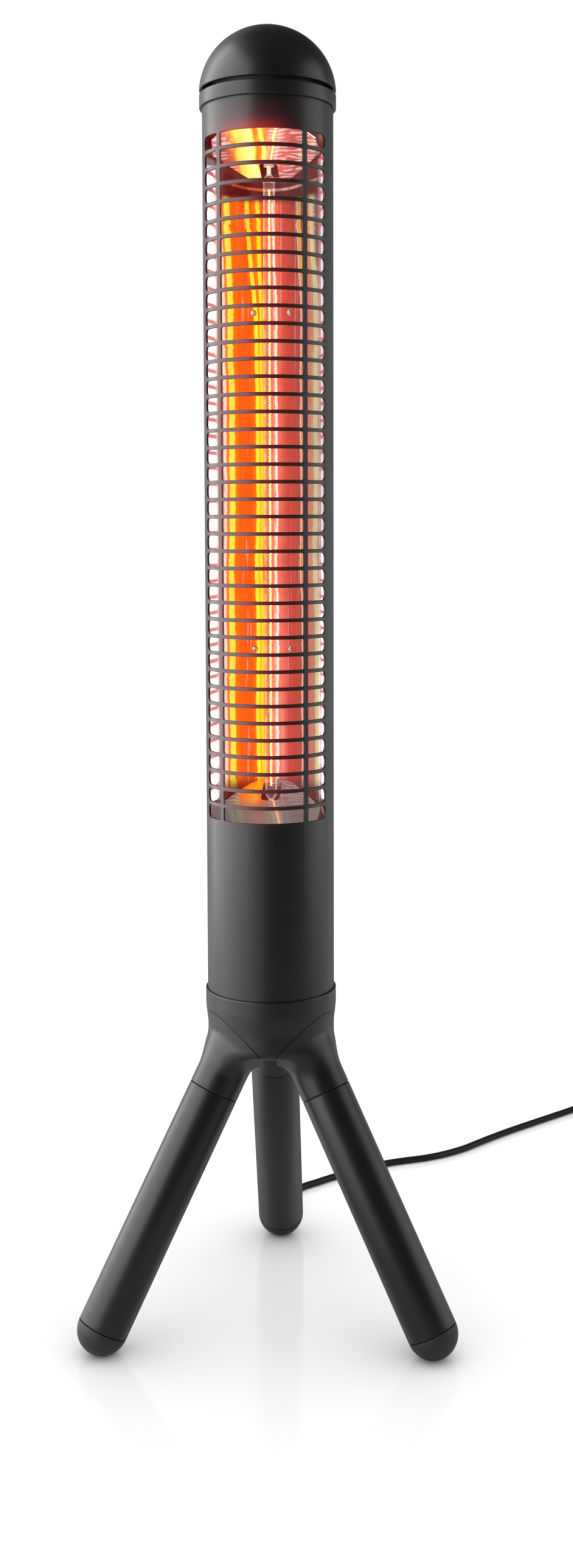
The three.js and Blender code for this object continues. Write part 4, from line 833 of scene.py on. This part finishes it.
side_start = middle_half + rib_arc
side_end = side_start + side_arc
slots = [(-middle_half, middle_half, (inner_round, inner_round)),
         (side_start, side_end, (inner_round, outer_round)),
         (-side_end, -side_start, (outer_round, inner_round))]
grown_loops = [slot_loop(*slot, slot_edge) for slot in slots]
true_loops = [slot_loop(*slot, 0) for slot in slots]
strip_columns = [girth * (k / tube_columns - 0.5) for k in range(tube_columns + 1)]
strip_edge = [(x, -slot_pitch / 2) for x in strip_columns]
strip_edge += [(x, slot_pitch / 2) for x in reversed(strip_columns)]
flat_places, flat_edges = [], []
for loop in (strip_edge, *grown_loops):
    first = len(flat_places)
    flat_places += [Vector(place) for place in loop]
    flat_edges += [(first + i, first + (i + 1) % len(loop)) for i in range(len(loop))]
cut_places, _, cut_faces, *_ = delaunay_2d_cdt(flat_places, flat_edges, [], 0, 1e-7)
kept_faces = []
for face in cut_faces:
    middle = sum((cut_places[i] for i in face), Vector((0, 0))) / len(face)
    if not any(inside_loop(middle.x, middle.y, loop) for loop in grown_loops):
        kept_faces.append(face)


def bent(arc, height, radius):
    angle = arc / tube_radius - math.pi / 2
    return (radius * math.cos(angle), radius * math.sin(angle), height)


row_places = [bent(*place, radius) for radius in (tube_radius, tube_inner) for place in cut_places]
row_faces = [tuple(face) for face in kept_faces]
row_faces += [tuple(len(cut_places) + i for i in reversed(face)) for face in kept_faces]
for grown, true in zip(grown_loops, true_loops):
    ring_starts = []
    for loop, radius in ((grown, tube_radius), (true, tube_radius - slot_edge),
                         (true, tube_inner + slot_edge), (grown, tube_inner)):
        ring_starts.append(len(row_places))
        row_places += [bent(*place, radius) for place in loop]
    count = len(grown)
    for near, far in zip(ring_starts, ring_starts[1:]):
        row_faces += [(near + i, near + (i + 1) % count, far + (i + 1) % count, far + i)
                      for i in range(count)]


def grow(piece, group, **values):
    """Runs a geometry group on a piece, with its inputs set, and keeps the result as a plain mesh."""
    grown = piece.modifiers.new(group.name, "NODES")
    grown.node_group = group
    for item in group.interface.items_tree:
        name = item.name.replace(" ", "_")
        if name in values:
            grown[item.identifier] = values[name]
    settle(piece)


up_the_tube, given, put_out = new_group(
    "slot_rows_up_the_tube", "GeometryNodeTree",
    [("Row", "Geometry"), ("Rows", "Int", 2), ("Lowest Centre", "Vector"), ("Pitch", "Vector"),
     ("Coat", "Material")],
    [("Wall", "Geometry")])
centres = add_node(up_the_tube, "GeometryNodeMeshLine", {"mode": "OFFSET"}, Count=given["Rows"],
                   Start_Location=given["Lowest Centre"], Offset=given["Pitch"]).outputs[0]
placed = add_node(up_the_tube, "GeometryNodeInstanceOnPoints", Points=centres, Instance=given["Row"])
real = add_node(up_the_tube, "GeometryNodeRealizeInstances", Geometry=placed.outputs[0])
coated = add_node(up_the_tube, "GeometryNodeSetMaterial", Geometry=real.outputs[0], Material=given["Coat"])
fill(put_out[0], coated.outputs[0])


off_tower_axis = (-0.00292, 0.04283, 0)


def tower_places(tree):
    """A vector from the tube's axis, and its parts: across to the right, back from the grille, up."""
    on_piece = add_node(tree, "ShaderNodeTexCoord").outputs["Object"]
    vector = add_node(tree, "ShaderNodeMapping", Vector=on_piece, Location=off_tower_axis,
                      Rotation=(0, 0, tower_turn)).outputs[0]
    return vector, *axes(vector)


# The tube's coat has painted light in its emission: a painted red halo of the lamp round its slots,
# strongest as painted glare over the top row, and painted lamplight on its inner faces between the bars.
glow_painted_coat = grained_material("warm_powder_coat", *coat, Specular_IOR_Level=0.22, Emission_Strength=1.0)
_, across, back, up = tower_places(glow_painted_coat.node_tree)
grille_top = highest_slot + slot_height / 2
at_front = back.fade(-0.002, -0.032)
# Painted halo of the lamp round the slots, and painted glare over the top row.
painted_halo = abs(across + 0.014).fade(0.056, 0.004) * at_front * up.fade(0.470, 0.505) * up.fade(1.118, 1.086)
painted_glare_over_top = (up.fade(grille_top + 0.011, grille_top - 0.001) * abs(across + 0.010).fade(0.042, 0.006)
            * up.fade(grille_top - 0.012, grille_top - 0.002) * at_front)
# Painted lamplight on the inner faces of the tube between the bars.
from_axis = (across * across + back * back).math("SQRT")
painted_lamplight_inside = (from_axis.math("LESS_THAN", tube_inner + 0.00015) * back.fade(0.010, -0.012)
              * up.fade(0.465, 0.52) * up.fade(1.10, 1.07))
glare = painted_glare_over_top.mix(painted_halo.mix((0, 0, 0), (0.10, 0.009, 0.016)), (0.32, 0.012, 0.005))
set_shader(glow_painted_coat.node_tree.nodes["Principled BSDF"],
           Emission_Color=painted_lamplight_inside.mix(glare, (0.55, 0.11, 0.12)))

grille_tube = mesh_piece("grille_tube", row_places, row_faces, glow_painted_coat)
grow(grille_tube, up_the_tube, Rows=slot_rows, Lowest_Centre=(0, 0, lowest_slot), Pitch=(0, 0, slot_pitch),
     Coat=glow_painted_coat)
grille_low, grille_high = lowest_slot - slot_pitch / 2, highest_slot + slot_pitch / 2
shoulder = 0.45
with opened(grille_tube) as form:
    for line in ([(tube_radius, grille_low), (tube_radius, shoulder), (tube_radius, seam_top),
                  (tube_inner, seam_top), (tube_inner, shoulder), (tube_inner, grille_low)],
                 [(tube_radius, grille_high), (tube_radius, tube_top), (tube_inner, tube_top),
                  (tube_inner, grille_high)]):
        rings = [[form.verts.new(bent(arc, height, radius)) for arc in strip_columns[:-1]]
                 for radius, height in line]
        for near, far in zip(rings, rings[1:]):
            for k in range(tube_columns):
                after = (k + 1) % tube_columns
                form.faces.new((near[k], near[after], far[after], far[k]))
    bmesh.ops.remove_doubles(form, verts=form.verts, dist=2e-6)
switch_hole, switch_height, screw_hole = 0.0113, 0.3999, 0.0027
chamber_low, chamber_height = 0.4789, 0.6095
hole_start, hole_end = 0.02, 0.07
lie_back = Matrix.Rotation(-math.pi / 2, 4, "X")
upper_screw, lower_screw = (chamber_low + chamber_height * share for share in (0.7565, 0.2478))
for radius, height, around in (
        (switch_hole, switch_height, 48), (screw_hole, upper_screw, 24), (screw_hole, lower_screw, 24)):
    bored(grille_tube, radius, hole_start, hole_end, Matrix.Translation((0, 0, height)) @ lie_back, around)
finish_mesh(grille_tube, tower_place, sharp=30)
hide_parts("body_tube")
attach(grille_tube, "heater")


# Collar, neck and cap: a turned ring closes the tube, a dark neck stands on the bulkhead inside it,
# and the domed cap is screwed down on the neck so that a shadow gap stays open under its edge.
collar_radius, cap_radius, cap_rise, cap_wall, shadow_gap = 0.0615, 0.0617, 0.0606, 0.0025, 0.0036
collar_mouth, collar_in, collar_shelf = tube_radius - 0.0075, tube_radius + slip_gap, collar_high - 0.0017
collar_line = [(collar_in, collar_low, 0), (collar_radius, collar_low, 0.0007),
               (collar_radius, collar_high, 0.0009), (collar_mouth, collar_high, 0.0005),
               (collar_mouth, collar_shelf, 0), (collar_in, collar_shelf, 0)]
collar = turned("collar_ring", collar_line, powder_coat, tower_place, around=160, closed=True)

dark_moulding = grained_material(
    "dark_moulding", (0.010, 0.010, 0.011), (0.018, 0.018, 0.019), 0.42, 0.55, 1600, 60, 0.2)
neck_low, neck_top = cap_base - 0.0230 + slip_gap, cap_base + 0.018
neck_radius, neck_wall, neck_mouth, screw_way = 0.050, 0.0016, 0.042, 0.0032
neck_inner = neck_radius - neck_wall
neck_line = [(neck_mouth, neck_low, 0), (neck_radius, neck_low, 0.0006), (neck_radius, neck_top, 0.0015),
             (screw_way, neck_top, 0), (screw_way, neck_top - neck_wall, 0),
             (neck_inner, neck_top - neck_wall, 0.001), (neck_inner, neck_low + neck_wall, 0),
             (neck_mouth, neck_low + neck_wall, 0)]
neck = turned("shadow_neck", neck_line, dark_moulding, tower_place, closed=True)

outer_start, inner_start = math.asin(shadow_gap / cap_rise), math.asin(shadow_gap / (cap_rise - cap_wall))
boss_radius, boss_low = 0.012, neck_top + slip_gap
boss_angle = math.acos(boss_radius / (cap_radius - cap_wall))
screw_depth = 0.014


def dome(wall, start, end, count):
    return [((cap_radius - wall) * math.cos(angle), cap_base + (cap_rise - wall) * math.sin(angle), 0)
            for angle in np.linspace(start, end, count)]


outer_line = dome(0, math.pi / 2, outer_start, 56)
cap_line = [(0, total_height, 0), *outer_line[1:-1], (*outer_line[-1][:2], edge_ease),
            *dome(cap_wall, inner_start, boss_angle, 20), (boss_radius, boss_low, 0.0004),
            (screw_way, boss_low, 0), (screw_way, boss_low + screw_depth, 0), (0, boss_low + screw_depth, 0)]
cap = turned("domed_cap", cap_line, powder_coat, tower_place, around=160, steps=3)
for piece, node_name in ((collar, "top_collar"), (neck, "cap_neck"), (cap, "dome_cap")):
    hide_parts(node_name)
    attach(piece, "heater")
dress(zinc_steel, "cap_screw", "upper_bulkhead", "lower_bulkhead")


# Reflector: a trough bent from mirror-polished aluminium, with flanges that face the grille, and two
# sloping end plates of the same sheet. The lamp comes through an opening in each.
bulkhead_low, bulkhead_high = 0.45693, 1.1044
lamp_back = 0.00701
sheet_thickness = 0.001


def polished(name, waves_per_metre, wave_depth):
    """Mirror-polished sheet with faint waves, its shader, and the places on it."""
    material, tree, shader = new_material(name)
    vector, across, _, up = tower_places(tree)
    relief = add_node(tree, "ShaderNodeBump", Strength=wave_depth, Distance=0.001,
                      Height=noise(vector, waves_per_metre, 1.5, 0.4)).outputs[0]
    set_shader(shader, Metallic=1.0, Emission_Strength=1.0, Normal=relief)
    return material, shader, vector, across, up


def colour_across(across, stops):
    """Colours from left to right on a sheet: each stop is millimetres to the right and a colour."""
    ramp = add_node(across.tree, "ShaderNodeValToRGB", Fac=across.spread(-0.060, 0.060))
    elements = ramp.color_ramp.elements
    while len(elements) < len(stops):
        elements.new(0.5)
    for element, (place, *colour) in zip(elements, stops):
        element.position = (place + 60) / 120
        element.color = (*colour, 1)
    return ramp.outputs[0]


# The trough's hollow is hazier than its flanges. Its emission paints the lamp's glow in it, orange on
# the left and rose on the right, and paints the lamp's images as bands that bend where the sheet has
# creases. Its base colour is a painted orange and rose tint beside the lamp and darker past the lamp's
# reach, and a painted shade darkens the flange's upper left corner.
trough_mirror, shader, vector, across, up = polished("trough_mirror", 30.0, 0.25)
hollow = abs(across).fade(0.049, 0.045)
reach_up = up.fade(0.497, 0.515) * up.fade(1.044, 1.037)
# Base colour: painted shade in the flange's upper left corner, a painted tint beside the lamp, darker past
# its reach.
painted_shade_corner = up.fade(1.0655, 1.0690) * across.fade(-0.043, -0.046)
flange = painted_shade_corner.mix((0.95, 0.92, 0.92), (0.15, 0.13, 0.15))
painted_lamp_side_tint = across.fade(-0.002, 0.006).mix((0.22, 0.07, 0.01), (0.16, 0.07, 0.06))
set_shader(shader, Roughness=hollow.spread(0, 1, 0.05, 0.22),
           Base_Color=hollow.mix(flange, reach_up.mix((0.07, 0.03, 0.03), painted_lamp_side_tint)))

# Painted lamp glow and painted lamp images across the hollow, as colour stops bent by noise.
crease = noise(vector, (3, 3, 26)).fade(0.57, 0.66).spread(0, 1, 0.0015, 0.0065)
sway = (noise(vector, (8, 8, 12)) - 0.5) * 0.005
bend = (noise(vector, (60, 60, 260), 2.0) - 0.5) * crease
bent_across = across + bend + sway + up.fade(0.93, 1.02) * 0.0035
painted_glow_orange, painted_lamp_yellow = (0.95, 0.085, 0.002), (1.0, 0.80, 0.035)
left_painted_glow = colour_across(bent_across, [
    (-60, 0.10, 0.06, 0.06), (-45, 0.35, 0.12, 0.11), (-42.5, 0.80, 0.12, 0.09),
    (-41.2, 1.0, 0.75, 0.62), (-39.6, 1.0, 0.70, 0.50), (-38.8, *painted_glow_orange), (-37.6, 1.0, 0.30, 0.01),
    (-36.8, 1.0, 0.88, 0.12), (-33.4, 1.0, 0.85, 0.06), (-32.2, 0.97, 0.16, 0.004), (-29, *painted_glow_orange),
    (-26.5, 0.92, 0.11, 0.008), (-19, *painted_glow_orange), (-12.4, 0.95, 0.12, 0.002), (-11.4, 0.97, 0.20, 0.002),
    (-10.8, *painted_lamp_yellow), (-8.2, 1.0, 0.62, 0.01), (-7.2, 0.93, 0.12, 0.006), (-4, 0.80, 0.07, 0.02),
    (0, 0.75, 0.08, 0.05)])
right_painted_glow = colour_across(bent_across, [
    (0, 0.75, 0.08, 0.05), (2.6, 0.72, 0.10, 0.07), (3.4, 1.0, 0.86, 0.80), (4.7, 1.0, 0.86, 0.80),
    (5.4, 0.62, 0.09, 0.06), (7.5, 0.70, 0.11, 0.08), (12, 0.60, 0.055, 0.035), (18, 0.48, 0.055, 0.045),
    (24, 0.36, 0.065, 0.06), (27.4, 0.28, 0.06, 0.055), (28.2, 0.80, 0.50, 0.46),
    (29.4, 0.75, 0.38, 0.30), (30.1, 0.30, 0.07, 0.05), (30.6, 0.72, 0.55, 0.03), (31.8, 0.60, 0.48, 0.04),
    (32.6, 0.22, 0.06, 0.055), (37, 0.34, 0.15, 0.13), (40.8, 0.42, 0.22, 0.19), (41.6, 0.52, 0.56, 0.24),
    (45.2, 0.52, 0.56, 0.28), (46.2, 0.38, 0.20, 0.18), (48, 0.16, 0.09, 0.09), (60, 0.05, 0.03, 0.03)])
field = bent_across.math("GREATER_THAN").mix(left_painted_glow, right_painted_glow)
from_painted_band = abs(bent_across + up.fade(0.90, 1.03, 0.0136, 0.0186))
field = from_painted_band.fade(0.0021, 0.0013).mix(field, painted_lamp_yellow)
pale = noise(vector, (260, 260, 22)).fade(0.60, 0.70) * 0.5 * abs(across + 0.023).fade(0.0045, 0.0025)
painted_hairlines = noise(vector, (420, 420, 4), 3.0).fade(0.62, 0.68) * 0.30 * across.fade(0.005, 0.009)
field = painted_hairlines.mix(pale.mix(field, (0.85, 0.50, 0.36)), (0.85, 0.60, 0.58))
field = noise(vector, (90, 90, 40), 3.0).spread(0.3, 0.7, 0.80, 1.0).mix((0.10, 0.01, 0.01), field)

# Past the lamp's ends the emission paints the hollow a dim dark red, with a painted reflection of the
# pale rim of the upper plate.
past_lamp_painted_glow = across.fade(-0.010, 0.012).mix((0.09, 0.004, 0.004), (0.11, 0.030, 0.030))
painted_rim_reflection = (abs(up + across * across * -1.5 - 1.0515).fade(0.0016, 0.0008)
          * noise(vector, (120, 120, 10), 2.0).spread(0.35, 0.65, 0.1, 0.9))
past_lamp_painted_glow = painted_rim_reflection.mix(past_lamp_painted_glow, across.fade(-0.006, 0.004).mix((0.85, 0.16, 0.02), (0.72, 0.42, 0.36)))
set_shader(shader, Emission_Color=reach_up.mix(past_lamp_painted_glow, field))

# The end plates' emission paints what they mirror: the trough and, beside the lamp, the grille with the
# daylight behind it, as pale wavy stripes. The lamp's full glare is painted on the left of the upper one,
# and the lower one is painted plain grey towards the front. Their own mirror is dimmed under the painted
# reflections.
for end, sheet, stripe_share, painted_stripe_colour, fades, stops in (
        ("upper", 0.35, 0.85, (0.72, 0.50, 0.48), (0.5, 0.6), [
            (-50, 0.35, 0.16, 0.15), (-42, 0.42, 0.07, 0.06), (-32, 0.60, 0.09, 0.05),
            (-28, 0.95, 0.20, 0.03), (-25, 1.0, 0.72, 0.10), (-18, 1.0, 0.90, 0.22),
            (-11, 1.0, 0.95, 0.40), (-9, 1.0, 0.70, 0.06), (-7.5, 0.80, 0.14, 0.01),
            (-3.5, 0.85, 0.22, 0.02), (-2.5, 1.0, 0.80, 0.12), (0.5, 1.0, 0.86, 0.22),
            (1.5, 0.85, 0.22, 0.02), (5, 0.70, 0.15, 0.05), (9, 0.52, 0.09, 0.07),
            (25, 0.36, 0.07, 0.07), (45, 0.30, 0.12, 0.12)]),
        ("lower", 0.09, 0.30, (0.60, 0.54, 0.53), (0.482, 0.496), [
            (-50, 0.19, 0.14, 0.14), (-34, 0.24, 0.12, 0.11), (-29, 0.66, 0.17, 0.06),
            (-24, 0.90, 0.17, 0.01), (-14, 1.0, 0.34, 0.01), (-8, 0.90, 0.12, 0.01),
            (0, 0.42, 0.08, 0.05), (6, 0.26, 0.12, 0.11), (20, 0.21, 0.14, 0.135),
            (45, 0.20, 0.16, 0.155)])):
    material, shader, vector, across, up = polished(f"{end}_end_mirror", 60.0, 0.3)
    across = across + (noise(vector, (26, 26, 60)) - 0.5) * 0.010
    stripes = Signal(add_node(across.tree, "ShaderNodeTexWave", {"bands_direction": "Z"}, Vector=vector,
                              Scale=136.0, Distortion=9.0, Detail=1.0, Detail_Scale=0.45).outputs["Fac"])
    painted_stripes = (stripes.fade(0.45, 0.75) * (across.fade(-0.026, -0.031) + across.fade(0.004, 0.009))
                    * stripe_share * noise(vector, (90, 90, 30), 2.0).fade(0.36, 0.50))
    # Painted reflections: colour stops across the plate, with pale painted stripes.
    plate_painted_reflection = painted_stripes.mix(colour_across(across, stops), painted_stripe_colour)
    set_shader(shader, Base_Color=(sheet, sheet * 0.95, sheet * 0.95), Roughness=0.08,
               Emission_Color=up.fade(*fades).mix((0.14, 0.135, 0.13), plate_painted_reflection))
    dress(material, f"{end}_end_reflector")

edge_corners = [
    (0.981, -0.167), (0.855, -0.115), (0.735, -0.035), (0.553, 0.14), (0.368, 0.333), (0.193, 0.43)]
trough_corners = [Vector((right * tube_inner, back * tube_inner)) for right, back in (
    *((-right, back) for right, back in edge_corners), (0, 0.456), *reversed(edge_corners))]
front_line = [trough_corners[0], *curved_through(trough_corners[1:-1], 8), trough_corners[-1]]
rear_line = []
for i, place in enumerate(front_line):
    along = front_line[min(i + 1, len(front_line) - 1)] - front_line[max(i - 1, 0)]
    rear_line.append(place + Vector((-along.y, along.x)).normalized() * sheet_thickness)
outline = [*front_line, *reversed(rear_line)]
count = len(outline)
trough = mesh_piece(
    "polished_trough",
    [(x, y, height) for height in (bulkhead_low + slip_gap, bulkhead_high - slip_gap) for x, y in outline],
    [*((i, (i + 1) % count, count + (i + 1) % count, count + i) for i in range(count)),
     range(count - 1, -1, -1), range(count, 2 * count)], trough_mirror, tower_place, sharp=20)
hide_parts("lamp_reflector")
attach(trough, "heater")

# The side softboxes are for the coat alone: in the mirrors the left one would be glare that the real
# one doesn't have, and on the floor they would be a second shadow. The card is for the mirrors.
mirrors = [trough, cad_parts["upper_end_reflector"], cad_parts["lower_end_reflector"]]
for name, state, pieces in (("left_softbox", "EXCLUDE", [*mirrors, studio_floor]),
                            ("right_softbox", "EXCLUDE", [studio_floor]), ("mirror_card", "INCLUDE", mirrors),
                            ("front_sweep", "INCLUDE", [studio_floor])):
    receivers = bpy.data.collections.new(f"{name}_receivers")
    softboxes[name].light_linking.receiver_collection = receivers
    for piece in pieces:
        receivers.objects.link(piece)
    for linked in receivers.collection_objects:
        linked.light_linking.link_state = state

dress(zinc_steel, *(f"{place}_{name}" for place in ("upper", "lower") for name in (
    "reflector_bracket", "rivet_left", "rivet_right", "rear_screw", "lamp_holder")))


# Lamp: a clear quartz tube pinched at both ends, held by white ceramics. The wound tungsten
# filament glows on its axis.
# The ceramics' emission paints the lamp's reddish light on them.
ceramic_white = grained_material(
    "ceramic_white", (0.66, 0.60, 0.55), (0.82, 0.78, 0.74), 0.5, 0.65, 900, 80, 0.2,
    Emission_Color=(1, 0.42, 0.30), Emission_Strength=0.22)
lamp_place = tower_place @ Matrix.Translation((0, lamp_back, 0))
ceramic_radius, ceramic_mouth, ceramic_bore = 0.0049, 0.00215, 0.0014
ceramic_depth, ceramic_rim, ceramic_step = 0.0020, 0.0035, 0.0003
for end, mouth, tip, way in (("upper", 1.0685, 1.0865, 1), ("lower", 0.48293, 0.46493, -1)):
    rim, floor = mouth + way * ceramic_rim, mouth + way * ceramic_depth
    barrel_radius = ceramic_radius - ceramic_step
    ceramic = turned(f"{end}_ceramic", [
        (ceramic_mouth, mouth, 0.0003), (ceramic_radius, mouth, 0.0007), (ceramic_radius, rim, 0.0002),
        (barrel_radius, rim + way * 0.0004, 0.0001), (barrel_radius, tip, 0.0006),
        (ceramic_bore, tip, 0.0002), (ceramic_bore, floor, 0), (ceramic_mouth, floor, 0)],
        ceramic_white, lamp_place, around=72, closed=True)
    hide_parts(f"{end}_lamp_ceramic")
    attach(ceramic, "heater")

quartz_radius, quartz_bore, pinch_radius, pinch_bore = 0.00525, 0.00405, 0.0019, 0.0009
quartz_low, quartz_high = 0.48143, 1.0700
pinch_length, pinch_end, bore_low, bore_high, bore_widens = 0.008, 0.0135, 0.4906, 1.0608, 0.005
quartz_line = []
for mouth, way in ((quartz_low, 1), (quartz_high, -1)):
    quartz_line += [(pinch_radius, mouth, 0.0003), (pinch_radius, mouth + way * pinch_length, 0.001),
                    (quartz_radius, mouth + way * pinch_end, 0.004)][::way]
quartz_line += [(pinch_bore, quartz_high, 0), (pinch_bore, bore_high, 0.001),
                (quartz_bore, bore_high - bore_widens, 0.003), (quartz_bore, bore_low + bore_widens, 0.003),
                (pinch_bore, bore_low, 0.001), (pinch_bore, quartz_low, 0)]
clear_quartz, tree, shader = new_material("clear_quartz")
# The emission paints white glints along the tube's edges and a warm painted glow on its pinched stems; the
# same masks make it less clear there.
edge_on = Signal(add_node(tree, "ShaderNodeLayerWeight", Blend=0.35).outputs["Facing"])
vector, _, _, up = tower_places(tree)
stem = up.fade(1.0600, 1.0625) + up.fade(0.4915, 0.4890)
painted_glint = edge_on.fade(0.42, 0.56) * noise(vector, (1, 1, 90)).spread(0.35, 0.60, 0.3, 1.0)
cover = edge_on.fade(0.35, 0.95, 0.04, 0.75)
set_shader(shader, Base_Color=(0.95, 0.86, 0.84), Roughness=0.03, Specular_IOR_Level=1.0,
           Alpha=cover.larger((stem * 0.6).larger(painted_glint * 0.85)), Emission_Strength=1.0,
           Emission_Color=painted_glint.mix(stem.mix((0, 0, 0), (0.50, 0.30, 0.20)), (1.0, 0.82, 0.78)))
quartz = turned(
    "quartz_envelope", quartz_line, clear_quartz, lamp_place, around=64, steps=5, closed=True)
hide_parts("quartz_tube")
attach(quartz, "heater")

hot_tungsten, tree, shader = new_material("hot_tungsten")
uneven = noise(add_node(tree, "ShaderNodeTexCoord").outputs["Object"], 90.0)
set_shader(shader, Base_Color=(0.3, 0.2, 0.1), Roughness=0.5, Emission_Strength=12.0,
           Emission_Color=uneven.mix((0.9, 0.30, 0.05), (1.0, 0.52, 0.10)))
winding, given, put_out = new_group(
    "filament_winding", "GeometryNodeTree",
    [("Blank", "Geometry"), ("Windings", "Float", 10.0), ("Coil Radius", "Float", 0.001),
     ("Wire Radius", "Float", 0.0002), ("Length", "Float", 0.1), ("Steps", "Int", 10),
     ("Tungsten", "Material")],
    [("Coil", "Geometry")])
spiral = add_node(winding, "GeometryNodeCurveSpiral", Resolution=given["Steps"], Rotations=given["Windings"],
                  Start_Radius=given["Coil Radius"], End_Radius=given["Coil Radius"],
                  Height=given["Length"]).outputs[0]
section = add_node(winding, "GeometryNodeCurvePrimitiveCircle", Resolution=5, Radius=given["Wire Radius"])
wire = add_node(winding, "GeometryNodeCurveToMesh", Curve=spiral, Profile_Curve=section.outputs[0],
                Fill_Caps=True)
glowing = add_node(winding, "GeometryNodeSetMaterial", Geometry=wire.outputs[0], Material=given["Tungsten"])
fill(put_out[0], glowing.outputs[0])
windings, wire_radius, winding_radius = 230.0, 0.0003, 0.0008
filament_low, filament_high = 0.5030, 1.0484
filament = mesh_piece("wound_filament", [(0, 0, 0)], [], hot_tungsten)
grow(filament, winding, Windings=windings, Coil_Radius=winding_radius, Wire_Radius=wire_radius,
     Length=filament_high - filament_low, Steps=9, Tungsten=hot_tungsten)
filament.data.transform(Matrix.Translation((0, 0, filament_low)))
finish_mesh(filament, lamp_place, sharp=60)
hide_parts("lamp_filament")
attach(filament, "heater")


# Push switch in the back of the tube: a turned bezel clamps it, and its button slides in the bezel.
dress(zinc_steel, "switch_bezel")
dress(dark_moulding, "switch_button", "switch_body")
wire_rubber = grained_material(
    "wire_rubber", (0.30, 0.06, 0.04), (0.40, 0.09, 0.06), 0.5, 0.65, 900, 60, 0.1)
dress(wire_rubber, "upper_lamp_wire", "lower_lamp_wire", "switch_wire")
